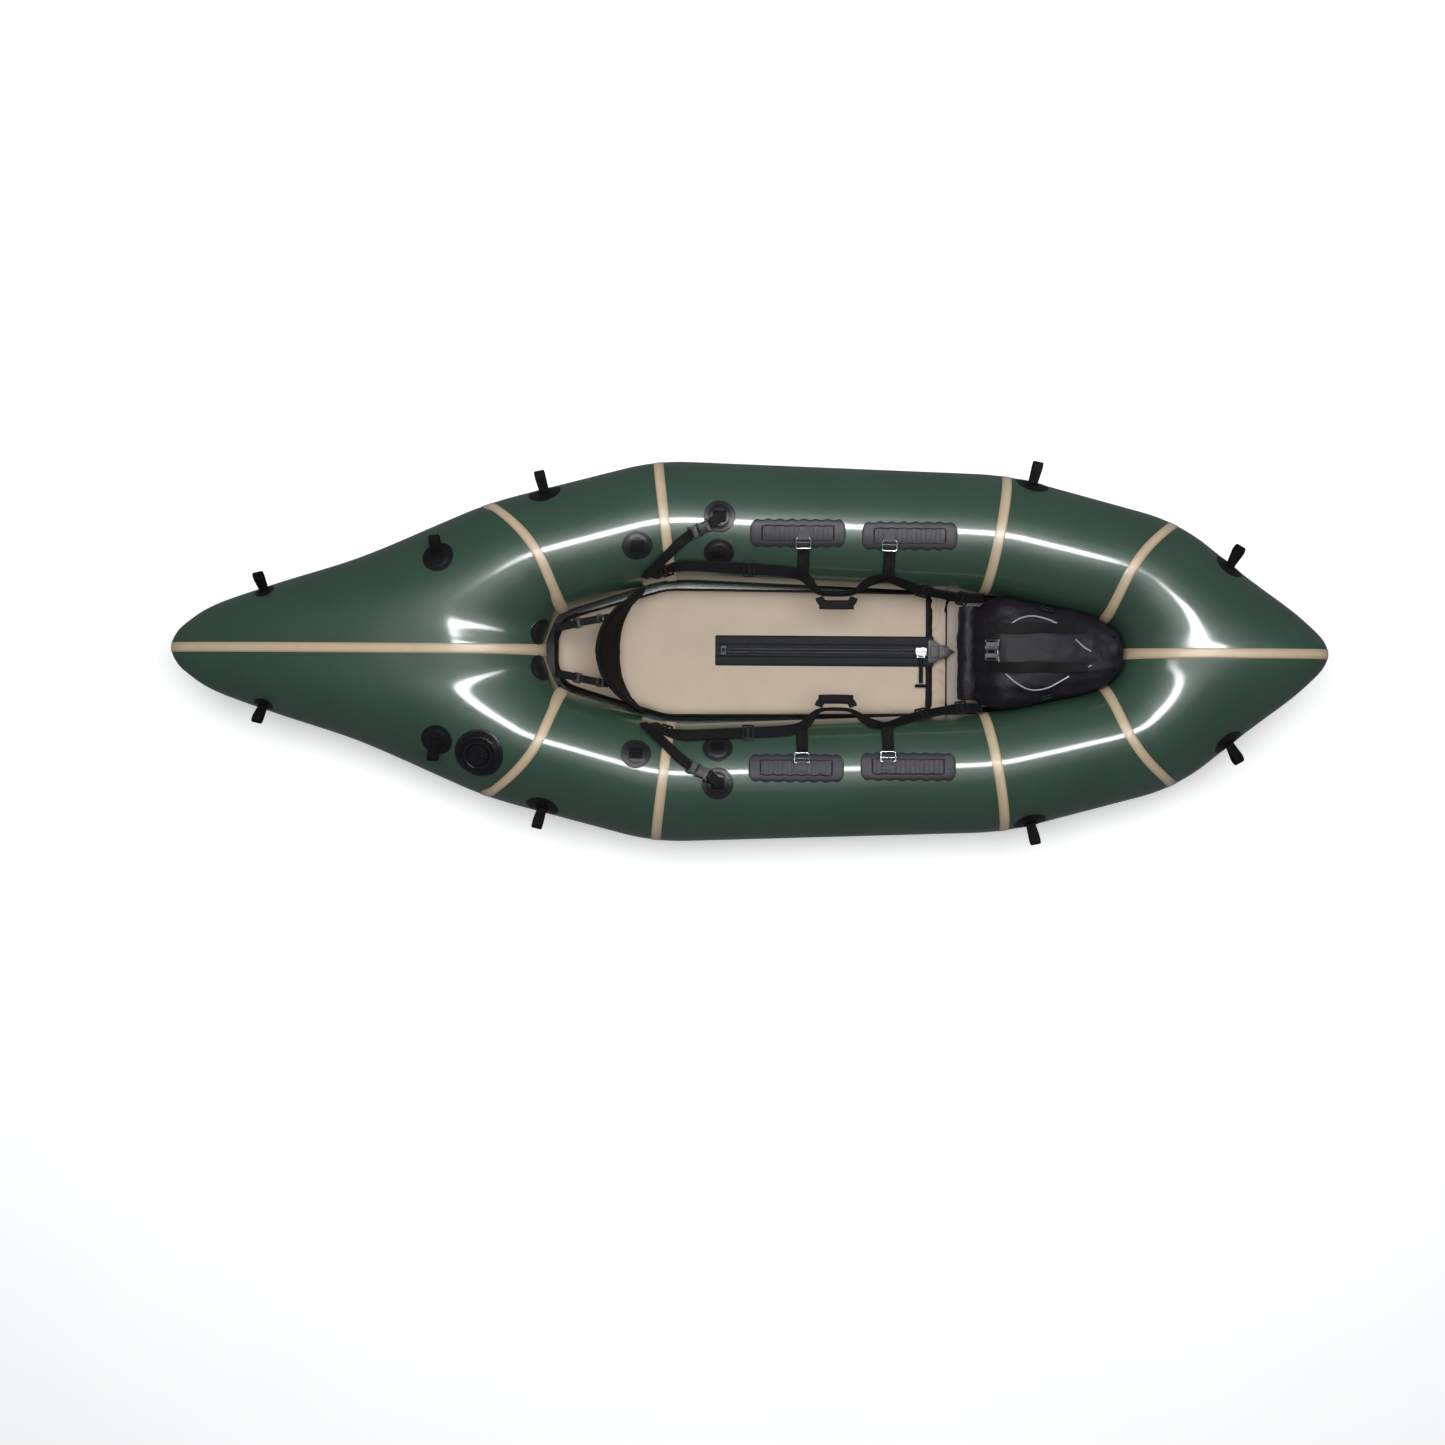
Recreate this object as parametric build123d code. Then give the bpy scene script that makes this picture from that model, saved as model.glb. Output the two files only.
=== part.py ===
"""Inflatable kayak of the packraft kind, modelled blown up and lying flat.

Millimetres. +X is the bow, +Y is port, +Z is up. The origin is under the middle
of the hull, on the ground. One STEP file is written for each subcomponent.
"""
from build123d import *
import math
import os

os.makedirs("parts", exist_ok=True)

# ---------------------------------------------------------------- driving sizes
TUBE_R = 150.0          # radius of the side tubes
TUBE_Z = 150.0          # height of the tube centre line
WALL = 2.0              # coated fabric with its seam lap
STERN_RISE = 60.0       # how far the stern tip sweeps up
BOW_RISE = 112.0        # how far the bow tip sweeps up
TAPE_W = 25.0           # seam tape
TAPE_UNDER = 0.5        # the ring tapes' underside and top, over the hull
TAPE_TOP = 2.3
WEB_W = 25.0            # strap webbing
WEB_T = 2.2
CUSHION_TOP = 76.0      # seat cushion
FRONT_TOP = 70.0        # front cushion
ZIP_Y = 6.0             # zip line, a little to port of the middle
HALF_PTS = 10           # spline points on each half of a hull section

# Hull sections, port side: outer point and inner point in plan.
STERN_PLAN = [
    ((-660, 374), (-474, 98)),
    ((-780, 321), (-484, 82)),
    ((-984, 233), (-494, 63)),
    ((-1187, 166), (-501, 46)),
    ((-1340, 110), (-507, 28)),
    ((-1414, 62), (-510, 14)),
    ((-1442, 29), (-511, 6)),
    ((-1450, 0), (-512, 0)),
]
HIP_PLAN = ((-232, 485), (-201, 185))
THIGH_PLAN = ((660, 454), (609, 153))
BOW_PLAN = [
    ((1085, 340), (912, 82)),
    ((1157, 287), (924, 62)),
    ((1259, 203), (935, 43)),
    ((1361, 120), (942, 26)),
    ((1412, 70), (945, 14)),
    ((1441, 33), (947, 6)),
    ((1450, 0), (948, 0)),
]


# ------------------------------------------------------------------ hull shapes
class Station:
    """One upright section through the hull, from its inner to its outer point."""

    def __init__(self, outer, inner, blend=0.0, rise=0.0, crest=0.5):
        self.outer = outer
        self.inner = inner
        self.blend = blend
        self.rise = rise
        self.crest = crest
        self.slant_out = 1.0
        self.slant_in = 1.0

    def half_height(self, v):
        """0 at both ends; a circle on the side tubes, a drop shape at the tips."""
        tube = 2 * math.sqrt(v * (1 - v))
        if v < self.crest:
            drop = math.sqrt(1 - (1 - v / self.crest) ** 2)
        else:
            drop = math.sqrt(1 - ((v - self.crest) / (1 - self.crest)) ** 1.7)
        return (1 - self.blend) * tube + self.blend * drop

    def row(self, grow=0.0):
        """Points round the section, the whole surface moved out by grow."""
        ox, oy = self.outer
        ix, iy = self.inner
        chord = math.dist(self.outer, self.inner)
        ux = (ox - ix) / chord
        uy = (oy - iy) / chord
        start = -grow * self.slant_in
        length = chord + grow * (self.slant_in + self.slant_out)
        points = []
        for k in range(2 * HALF_PTS):
            angle = math.pi * k / HALF_PTS
            v = (1 - math.cos(angle)) / 2
            side = 1 if k <= HALF_PTS else -1
            reach = start + length * v
            height = side * (TUBE_R + grow) * self.half_height(v)
            z = TUBE_Z + self.rise * v * v + height
            points.append(Vector(ix + ux * reach, iy + uy * reach, z))
        return points


def slant(points, i, direction):
    """How much longer a step along a section is than a step across the skin."""
    ax, ay = points[max(i - 1, 0)]
    bx, by = points[min(i + 1, len(points) - 1)]
    edge = math.hypot(bx - ax, by - ay)
    cross = abs((bx - ax) * direction[1] - (by - ay) * direction[0]) / edge
    return 1 / max(cross, 0.35)


def fan(plan, rise, crest):
    """Stations turning from the last tube section to the middle of the boat."""
    lengths = [math.dist(o, i) for o, i in plan]
    outers = [o for o, i in plan]
    inners = [i for o, i in plan]
    stations = []
    for n, (outer, inner) in enumerate(plan):
        blend = (lengths[n] - lengths[0]) / (lengths[-1] - lengths[0])
        lift = rise * blend ** 1.5
        place = 0.5 + (crest - 0.5) * blend
        station = Station(outer, inner, blend, lift, place)
        direction = [(outer[0] - inner[0]) / lengths[n], (outer[1] - inner[1]) / lengths[n]]
        if n < len(plan) - 1:
            station.slant_out = slant(outers, n, direction)
            station.slant_in = slant(inners, n, direction)
        stations.append(station)
    return stations


def section_wire(row):
    """Closed wire of an upper and a lower spline."""
    top = Edge.make_spline(row[: HALF_PTS + 1])
    bottom = Edge.make_spline(row[HALF_PTS:] + [row[0]])
    return Wire([top, bottom])


def loft_rows(rows):
    return Solid.make_loft([section_wire(row) for row in rows], ruled=True)


STERN_FAN = fan(STERN_PLAN, STERN_RISE, 0.25)
BOW_FAN = fan(BOW_PLAN, BOW_RISE, 0.4)
HIP = Station(*HIP_PLAN)
THIGH = Station(*THIGH_PLAN)
STERN_SEAM = Station(*STERN_PLAN[0])
BOW_SEAM = Station(*BOW_PLAN[0])

HULL = {
    "stern_shell": STERN_FAN,
    "stern_quarter_tube": [STERN_SEAM, HIP],
    "mid_tube": [HIP, THIGH],
    "bow_quarter_tube": [THIGH, BOW_SEAM],
    "bow_shell": BOW_FAN,
}


def grown(piece, grow):
    """Solid block of one hull piece with its surface moved out by grow."""
    return loft_rows([station.row(grow) for station in HULL[piece]])


def hull_piece(piece):
    """Air-filled piece: a thin wall, open where it joins its neighbours."""
    return grown(piece, 0) - grown(piece, -WALL)


def skin(piece, low, high):
    """Layer lying on a hull piece between two heights above its surface."""
    return grown(piece, high) - grown(piece, low)


def port_and_starboard(shape):
    return [shape, mirror(shape, Plane.XZ)]


def save(name, shapes):
    """Write one subcomponent, made of one solid or several."""
    solids = []
    for shape in shapes if isinstance(shapes, list) else [shapes]:
        solids += shape.solids()
    whole = solids[0] if len(solids) == 1 else Compound(children=solids)
    export_step(whole, f"parts/{name}.step")


def save_pair(name, shape):
    port, starboard = port_and_starboard(shape)
    save(f"{name}_port", port)
    save(f"{name}_starboard", starboard)


def make_hull_pieces():
    for piece in HULL:
        save_pair(piece, hull_piece(piece))


# ------------------------------------------------------------------- seam tapes
def between(row_a, row_b, share):
    return [a + (b - a) * share for a, b in zip(row_a, row_b)]


def tape_ring(seam, neighbour):
    """Half of the ring tape: from the seam a little way towards a neighbour."""
    span = math.dist(seam.outer, neighbour.outer)
    share = TAPE_W / 2 / span
    layers = []
    for grow in (TAPE_TOP, TAPE_UNDER):
        start = seam.row(grow)
        end = between(start, neighbour.row(grow), share)
        layers.append(loft_rows([start, end]))
    return layers[0] - layers[1] - Pos(0, 0, -92) * Box(4000, 2000, 200)


def make_ring_tapes():
    """Tapes over the top and sides; the floor sheet covers them underneath."""
    joints = [
        (STERN_FAN[0], STERN_FAN[1]),
        (STERN_SEAM, HIP),
        (HIP, STERN_SEAM),
        (HIP, THIGH),
        (THIGH, HIP),
        (THIGH, BOW_SEAM),
        (BOW_SEAM, THIGH),
        (BOW_FAN[0], BOW_FAN[1]),
    ]
    rings = []
    for seam, neighbour in joints:
        rings += port_and_starboard(tape_ring(seam, neighbour))
    save("ring_tapes", rings)


def make_centre_tape(name, piece):
    strip = Box(4000, TAPE_W, 1200)
    band = (grown(piece, 1.3) & strip) - grown(piece, TAPE_UNDER)
    save(name, port_and_starboard(band))


# ---------------------------------------------------------------- small helpers
def block(x0, x1, y0, y1, z0, z1):
    centre = Pos((x0 + x1) / 2, (y0 + y1) / 2, (z0 + z1) / 2)
    return centre * Box(x1 - x0, y1 - y0, z1 - z0)


def slab(points, z0, z1, corner=0):
    """Plate from a plan outline, with its corners rounded."""
    face = make_face(Polyline(*points, close=True))
    if corner:
        face = fillet(face.vertices(), corner)
    return Pos(0, 0, z0) * extrude(face, z1 - z0)


def both_sides(half):
    """Closed plan outline from its port half, which starts and ends near y = 0."""
    return half + [(x, -y) for x, y in reversed(half) if y > 0]


def drop_on(solid, x, y):
    """Where a plumb line meets the top of a solid, and the way out of it there."""
    hits = solid.find_intersection_points(Axis((x, y, 1000), (0, 0, -1)))
    point, normal = max(hits, key=lambda hit: hit[0].Z)
    return point, normal if normal.Z > 0 else -normal


def piece_at(x, y):
    """Name of the port hull piece under a plan point."""
    seams = [("stern_shell", STERN_SEAM), ("stern_quarter_tube", HIP), ("mid_tube", THIGH),
             ("bow_quarter_tube", BOW_SEAM)]
    for name, seam in seams:
        (ox, oy), (ix, iy) = seam.outer, seam.inner
        seam_x = ix + (ox - ix) * (abs(y) - iy) / (oy - iy)
        if x < seam_x:
            return name
    return "bow_shell"


PORT_BLOCKS = {piece: grown(piece, 0) for piece in HULL}


def on_hull(x, y, height=0.0):
    """Point above the port or starboard hull surface, and the way out there."""
    point, normal = drop_on(PORT_BLOCKS[piece_at(x, y)], x, abs(y))
    if y < 0:
        point = Vector(point.X, -point.Y, point.Z)
        normal = Vector(normal.X, -normal.Y, normal.Z)
    return point + normal * height, normal


def ribbon(frames, width, thick):
    """Flat webbing laid along (centre of the underside, way up) pairs."""
    wires = []
    last = len(frames) - 1
    widths = width if isinstance(width, list) else [width] * len(frames)
    for i, (centre, up) in enumerate(frames):
        along = (frames[min(i + 1, last)][0] - frames[max(i - 1, 0)][0]).normalized()
        across = up.cross(along).normalized() * (widths[i] / 2)
        rise = along.cross(across).normalized() * thick
        corners = [centre - across, centre + across, centre + across + rise, centre - across + rise]
        wires.append(Wire.make_polygon(corners))
    return Solid.make_loft(wires, ruled=True)


def seat(point, normal, along):
    """Placement with +Z out of the surface and +X as near to along as it can be."""
    flat = along - normal * along.dot(normal)
    return Plane(origin=point, x_dir=flat, z_dir=normal).location


def patch(x, y, radius, low=0.3, high=2.4):
    """Round fabric disc welded on the port side of the hull."""
    point, normal = on_hull(x, y)
    punch = seat(point, normal, Vector(1, 0, 0)) * Cylinder(radius, 60)
    return skin(piece_at(x, y), low, high) & punch


# --------------------------------------------------------------- floor and seats
def make_hull_floor():
    half = [(-640, 0), (-615, 110), (-542, 199), (-212, 290), (627, 259), (973, 174), (1040, 90),
            (1060, 0)]
    save("hull_floor", slab(both_sides(half), 3, 5))


def outline_ring(points, inset, width, z0, z1, corner):
    """Raised edge following a cushion outline, inset from it."""
    face = fillet(make_face(Polyline(*points, close=True)).vertices(), corner)
    outer = offset(face, -inset)
    inner = offset(face, -inset - width)
    return Pos(0, 0, z0) * extrude(outer - inner, z1 - z0)


def air_cushion(points, z0, z1, corner):
    """Inflated cushion: coated fabric all round a sealed air space."""
    face = fillet(make_face(Polyline(*points, close=True)).vertices(), corner)
    cover = Pos(0, 0, z0) * extrude(face, z1 - z0)
    return cover - Pos(0, 0, z0 + WALL) * extrude(offset(face, -WALL), z1 - z0 - 2 * WALL)


def make_seat_cushion():
    half = [(-496, 45), (-470, 92), (-205, 170), (484, 164)]
    points = both_sides(half)
    save("seat_cushion", air_cushion(points, 6, CUSHION_TOP, 30))
    ring = outline_ring(points, 4, 10, CUSHION_TOP + 0.2, CUSHION_TOP + 3.2, 30)
    save("seat_cushion_piping", ring - block(440, 500, ZIP_Y - 42, ZIP_Y + 42, 70, 90))


def make_front_cushion():
    half = [(508, 150), (610, 148), (862, 90), (895, 40)]
    points = both_sides(half)
    save("front_cushion", air_cushion(points, 6, FRONT_TOP, 22))
    save("front_cushion_piping", outline_ring(points, 4, 8, FRONT_TOP + 0.2, FRONT_TOP + 3.2, 22))


# ------------------------------------------------------------------------ zipper
def make_zipper():
    top = CUSHION_TOP
    save("zipper_tape", block(-79, 482, ZIP_Y - 38, ZIP_Y + 38, top + 0.2, top + 1.6))
    rails = [block(-50, 466, y - 2.5, y + 2.5, top + 1.8, top + 4.8) for y in (ZIP_Y - 4, ZIP_Y + 4)]
    rails.append(block(-66, -52, ZIP_Y - 12, ZIP_Y + 12, top + 1.8, top + 7))
    save("zipper_rails", rails)
    foot = block(468, 480, ZIP_Y - 14, ZIP_Y + 14, top + 1.8, top + 6)
    nose = slab([(468, ZIP_Y - 14), (512, ZIP_Y - 12), (538, ZIP_Y), (512, ZIP_Y + 12),
                 (468, ZIP_Y + 14)], top + 4.2, top + 6.2)
    save("zipper_dock", foot + nose)


def make_zipper_slider():
    """Arch that straddles both rails, with an eye on its starboard flank."""
    z = CUSHION_TOP
    body = Pos(450, ZIP_Y, z + 6) * Box(28, 21, 7.6)
    body = fillet(body.edges().filter_by(Axis.Z), 5)
    body -= block(430, 470, ZIP_Y - 7.2, ZIP_Y + 7.2, z, z + 5.5)
    ears = [block(x, x + 3, ZIP_Y - 18, ZIP_Y - 9, z + 3, z + 9) for x in (440.5, 456.5)]
    pin = Pos(450, ZIP_Y - 14.5, z + 6) * Rot(0, 90, 0) * Cylinder(1.5, 18)
    save("zipper_slider", body + ears[0] + ears[1] + pin)
    eye = Pos(450, ZIP_Y - 14.5, z + 6) * Rot(0, 90, 0) * (Cylinder(3.2, 11) - Cylinder(1.9, 20))
    strip = block(444.5, 455.5, ZIP_Y - 84, ZIP_Y - 17.2, z + 5, z + 7)
    bar = Pos(450, ZIP_Y - 88, z + 6) * Rot(0, 90, 0) * Cylinder(4.5, 30)
    save("zipper_pull", eye + strip + bar)


# --------------------------------------------------------------------- bow bag
BAG_SECTIONS = [(596, 172, 124, 46), (650, 188, 145, 64), (760, 198, 123, 64), (860, 204, 101, 50),
                (925, 210, 66, 34), (946, 212, 32, 18)]   # x, height of centre, half width and height


def bag_body():
    faces = []
    for x, z, half_w, half_h in BAG_SECTIONS:
        plane = Plane(origin=(x, 0, z), x_dir=(0, 1, 0), z_dir=(1, 0, 0))
        faces.append(plane * Ellipse(half_w, half_h))
    return loft(faces, ruled=True)


def along_bag(bag, path, height):
    frames = []
    for x, y in path:
        point, normal = drop_on(bag, x, y)
        frames.append((point + normal * height, normal))
    return frames


def make_bow_bag():
    bag = bag_body()
    save("bow_bag", bag)
    roll = Pos(563, 0, 162) * Rot(90, 0, 0) * extrude(Ellipse(28, 31), 114, both=True)
    save("bag_roll_top", roll)
    straps = []
    for y in (61, -36):
        path = [(x, y) for x in (604, 630, 650, 680, 720, 760, 800, 830, 860)]
        straps.append(ribbon(along_bag(bag, path, 6.0), 28, WEB_T))
    save("bag_straps", straps + bag_eyes(bag))
    loop = [(632, 33), (634, 46), (650, 62), (668, 80), (712, 93), (760, 82), (790, 66), (818, 40),
            (845, 14), (864, -8), (848, -24), (815, -50), (780, -74), (729, -94), (690, -80),
            (650, -56), (640, -40), (632, -22)]
    save("bag_piping", ribbon(along_bag(bag, loop, 3.0), 5, 1.2))
    make_bag_buckle(bag)


def make_bag_buckle(bag):
    """Side-release buckle that joins the rolled ends across the boat."""
    z = drop_on(bag, 632, 5)[0].Z + 8.5
    shell = Pos(612, 19, z) * Box(36, 26, 11)
    shell = fillet(shell.edges().filter_by(Axis.Z), 4)
    save("bag_buckle_socket", shell - Pos(612, 14, z) * Box(26, 22, 5.6))
    plug = Pos(612, -11, z) * Box(34, 20, 9)
    plug = fillet(plug.edges().filter_by(Axis.Z), 4)
    prongs = [Pos(612 + x, 8, z) * Box(6, 20, 4) for x in (-9, 9)]
    save("bag_buckle_plug", plug + prongs[0] + prongs[1])


def bag_eyes(bag):
    """Eyes that tie the bag's nose down."""
    eyes = []
    for x, y in ((922, 40), (934, 0), (922, -40)):
        point, normal = drop_on(bag, x, y)
        eyes.append(seat(point + normal * 6.5, Vector(0, 1, 0), Vector(1, 0, 0)) * Torus(4.2, 2.2))
    return eyes


# ------------------------------------------------------------------------ valve
def make_valve():
    """Rubber flange, collar and screw cap on the starboard quarter."""
    point, normal = on_hull(-666, -262)
    place = seat(point, normal, Vector(1, 0, 0))
    layer = mirror(skin("stern_shell", TAPE_TOP + 0.5, TAPE_TOP + 2.9), Plane.XZ)
    save("valve_flange", layer & (place * (Cylinder(62, 60) - Cylinder(40, 80))))
    under = mirror(grown("stern_shell", 0.3), Plane.XZ)
    collar = Pos(0, 0, 2) * (Cylinder(38.5, 22) - Cylinder(28.5, 30))
    floor = Pos(0, 0, -2) * Cylinder(28.5, 12)
    save("valve_collar", place * (collar + floor) - under)
    cap = Pos(0, 0, 9.5) * Cylinder(27.5, 10)
    for k in range(18):
        groove = Rot(0, 0, 20 * k) * Pos(28.2, 0, 9.5) * Cylinder(2, 20)
        cap -= groove
    grip = Pos(0, 0, 16) * Box(40, 7, 4)
    save("valve_cap", place * (cap + grip))


# -------------------------------------------------------------- round patches
HIP_PATCHES = [(-275, 258, 39), (-71, 332, 40), (-72, 243, 38)]
TIE_DOWNS = {
    "stern_deck": (-772, 229, 40),
    "stern_side": (-512, 396, 42),
    "bow_side": (718, 427, 42),
    "bow_deck": (1213, 222, 40),
}
TIP_LOOP = (-1213, 143, 26)
LOOP_BASE = 3.8         # height of a loop's foot over the hull, clear of its patch


def make_patches():
    discs = []
    for x, y, radius in HIP_PATCHES:
        discs += port_and_starboard(patch(x, y, radius))
    wall = Pos(-500, 56, 165) * Rot(0, 90, 0) * Cylinder(28, 40)
    discs += port_and_starboard(skin("stern_shell", 0.3, 2.4) & wall)
    save("harness_patches", discs)
    discs = []
    for x, y, radius in [*TIE_DOWNS.values(), TIP_LOOP]:
        discs += port_and_starboard(patch(x, y, radius))
    save("tie_down_patches", discs)


def webbing_loop(length, belly, width):
    """Teardrop of folded webbing that stands on the XY plane, its width along X."""
    tip = Pos(0, 2.8) * Circle(2.8)
    outer = make_hull((tip + Pos(0, length - belly / 2) * Circle(belly / 2)).edges())
    tip = Pos(0, 6) * Circle(0.6)
    inner = make_hull((tip + Pos(0, length - belly / 2) * Circle(belly / 2 - 2.4)).edges())
    return extrude(Plane.YZ * (outer - inner), width / 2, both=True)


def make_loops():
    """Each loop stands on its patch and leans down the hull's side by some degrees."""
    leans = {"stern_deck": 40, "stern_side": 0, "bow_side": 0, "bow_deck": 25}
    for name, (x, y, _) in TIE_DOWNS.items():
        point, normal = on_hull(x, y, LOOP_BASE)
        place = seat(point, normal, Vector(1, 0, 0))
        save_pair(f"loop_{name}", place * Rot(-leans[name], 0, 0) * webbing_loop(56, 24, WEB_W))
    point, normal = on_hull(*TIP_LOOP[:2], LOOP_BASE)
    tip = seat(point, normal, Vector(1, 0, 0)) * webbing_loop(51, 20, WEB_W)
    save("stern_tip_loops", port_and_starboard(tip))


# ------------------------------------------------------------- thigh brace pads
PADS = [(124, 292), (402, 287)]
HOOKS = {"aft": (138, 281), "fore": (352, 276)}
RING_REACH = 22.0


def scalloped(length, width, bumps):
    """Strip with a row of round bumps along both long edges."""
    pitch = length / bumps
    radius = pitch * 0.56
    face = Rectangle(length - pitch * 0.5, width - 2 * radius)
    for n in range(bumps):
        for side in (-1, 1):
            x = (n - (bumps - 1) / 2) * pitch
            face += Pos(x, side * (width / 2 - radius)) * Circle(radius)
    return face


def make_thigh_pads():
    base_layer = skin("mid_tube", 0.3, 3.0)
    top_layer = skin("mid_tube", 3.0, 5.2)
    pads = []
    for x, y in PADS:
        outline = extrude(scalloped(237, 72, 8), 400)
        raised = extrude(RectangleRounded(182, 40, 8), 400)
        pads += port_and_starboard(base_layer & (Pos(x, y, 200) * outline))
        pads += port_and_starboard(top_layer & (Pos(x, y, 200) * raised))
    save("thigh_pads", pads)


def make_hooks():
    """Webbing tab on each pad, and the steel ring that swings in it."""
    tabs = []
    for name, (x, y) in HOOKS.items():
        point, normal = on_hull(x, y, 5.5)
        place = seat(point, normal, Vector(1, 0, 0))
        tab = fillet(Box(18, 14, 9).edges().filter_by(Axis.Z), 3)
        bore = Rot(0, 90, 0) * Cylinder(2.7, 40)
        tabs += port_and_starboard(place * Pos(0, 0, 4.7) * (tab - bore))
        long_bar = Rot(0, 90, 0) * Cylinder(2, 26)
        side_bar = Rot(90, 0, 0) * Cylinder(2, RING_REACH)
        ring = long_bar + Pos(0, -RING_REACH, 0) * long_bar
        for end in (-13, 13):
            ring += Pos(end, -RING_REACH / 2, 0) * side_bar
            ring += Pos(end, 0, 0) * Sphere(2) + Pos(end, -RING_REACH, 0) * Sphere(2)
        save_pair(f"{name}_ring", place * Pos(0, 0, 4.7) * ring)
    save("ring_tabs", tabs)


# ----------------------------------------------------------------- thigh straps
def lie(x, y, height=3.0):
    return on_hull(x, y, height)


def hang(x, y, z, lean=0.6):
    """Frame of webbing held clear of the tube, its top leaning inboard."""
    return Vector(x, y, z), Vector(0, -lean, math.sqrt(1 - lean * lean))


def tight(x, y, lean=0.42):
    """Frame of webbing pulled flat over the hollow beside a tube, its outer edge on the tube."""
    edge, _ = on_hull(x, y + 12, 3.0)
    _, up = hang(0, 0, 0, lean)
    across = Vector(0, up.Z, lean)
    return edge - across * (WEB_W / 2), up


def thigh_path():
    """From the backband's end, along the tube, down to the handle and up again."""
    aft = [lie(-236, 186), lie(-204, 206)]
    aft += [tight(x, y) for x, y in ((-160, 214), (-110, 213), (-50, 210), (4, 207), (60, 204), (105, 200))]
    dip = [hang(142, 188, 232), hang(162, 168, 222), hang(178, 152, 212), hang(196, 146, 208),
           hang(232, 145, 207), hang(258, 147, 208), hang(276, 155, 213), hang(294, 169, 222),
           hang(320, 182, 231)]
    fore = [lie(354, 188, 4.0), hang(400, 171, 215, 0.7), hang(443, 158, 206, 0.7),
            hang(500, 147, 197, 0.7), hang(545, 140, 190), hang(598, 139, 190)]
    return aft + dip + fore


def make_thigh_straps():
    path = thigh_path()
    widths = [WEB_W] * 9 + [20, 14, 11, 11, 11, 14, 20] + [WEB_W] * 7
    main = ribbon(path, widths, WEB_T)
    aft_link = ribbon([lie(139, y, 3.6) for y in (214, 228, 242, 256, 264)], 20, 1.8)
    fore_link = ribbon([lie(353, y, 3.6) for y in (206, 219, 232, 246, 257)], 20, 1.8)
    save_pair("thigh_strap", Compound(children=[main, aft_link, fore_link]))


HANDLE_ENDS = (Vector(184, 137, 201), Vector(268, 137, 201))


def make_grab_handles():
    """Padded band carried on two short tabs that swing at the thigh strap."""
    grip = fillet((Pos(226, 120, 197) * Box(97, 20, 7)).edges().filter_by(Axis.X), 3)
    handle = grip
    for end in HANDLE_ENDS:
        handle += Pos(end.X, 132, 198.5) * Box(12, 12, 3)
    save_pair("grab_handle", handle)


# ------------------------------------------------------------- backband and hips
def hip_path():
    spots = [(-66, 333, 3.0), (-87, 318, 3.0), (-117, 302, 3.0), (-150, 282, 3.2), (-176, 262, 5.6),
             (-205, 238, 8.0), (-235, 212, 8.0), (-262, 188, 7.0)]
    return [lie(*spot) for spot in spots]


def side_release(length, width, height):
    """Side-release buckle: socket with two windows, waisted plug behind it."""
    socket = Pos(-length * 0.18, 0, 0) * Box(length * 0.62, width, height)
    socket = fillet(socket.edges().filter_by(Axis.Z), width * 0.18)
    plug = Pos(length * 0.31, 0, 0) * Box(length * 0.38, width * 0.86, height * 0.8)
    plug = fillet(plug.edges().filter_by(Axis.Z), width * 0.12)
    body = socket + plug
    for side in (-1, 1):
        body -= Pos(-length * 0.1, side * width / 2, 0) * Box(length * 0.24, 5, height * 2)
    return body


def make_hip_straps():
    save_pair("hip_strap", ribbon(hip_path(), WEB_W, WEB_T))
    point, normal = on_hull(-117, 302, 3.0 + WEB_T + 5.6)
    place = seat(point, normal, Vector(59, 30, 0))
    save("hip_buckles", port_and_starboard(place * side_release(62, 34, 10)))


BACK_PIVOT = Vector(-262, 0, 152)
BACK_PATH = [(-262, 157), (-291, 132), (-322, 97), (-345, 52), (-353, 0)]


def make_backband():
    """Curved pad, tall in the middle and leaning back, low at both ends."""
    line = BACK_PATH + [(x, -y) for x, y in reversed(BACK_PATH[:-1])]
    tall = [54, 78, 108, 126, 132]
    lean = [0, 6, 14, 21, 24]
    frames = []
    for i, (x, y) in enumerate(line):
        k = min(i, len(line) - 1 - i)
        ax, ay = line[max(i - 1, 0)]
        bx, by = line[min(i + 1, len(line) - 1)]
        size = math.hypot(bx - ax, by - ay)
        tilt = math.radians(lean[k])
        face = Vector(-(by - ay) / size * math.cos(tilt), (bx - ax) / size * math.cos(tilt), math.sin(tilt))
        frames.append((Vector(x, y, 160), face))
    save("backband", ribbon(frames, tall + tall[-2::-1], 14))


def stern_strap_path():
    spots = [(-486, 57, 170), (-455, 63, 178), (-420, 71, 184), (-385, 78, 187), (-349, 84, 188)]
    return [(Vector(*spot), Vector(-0.1, 0, 1)) for spot in spots]


def make_stern_straps():
    save_pair("stern_strap", ribbon(stern_strap_path(), 20, WEB_T))


def glide(frame, along, gap=0.5):
    """Three-bar slide lying on webbing."""
    point, normal = frame
    plate = Box(24, 34, 3) - Pos(-6, 0, 0) * Box(4, 26, 9) - Pos(6, 0, 0) * Box(4, 26, 9)
    return seat(point + normal * (WEB_T + gap + 1.5), normal, along) * plate


def make_adjusters():
    path = thigh_path()
    stern = stern_strap_path()
    slides = [glide(path[5], Vector(1, 0, 0), 1.6), glide(path[19], Vector(43, -12, -9), 1.0),
              glide(path[21], Vector(45, -8, -7), 1.0)]
    slides.append(glide(stern[2], Vector(35, 8, 5)))
    point, normal = drop_on(bag_body(), 752, 108)
    slides.append(seat(point + normal * 5, normal, Vector(1, -0.3, 0)) * Box(30, 14, 6))
    both = []
    for piece in slides:
        both += port_and_starboard(piece)
    save("webbing_adjusters", both)


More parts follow.
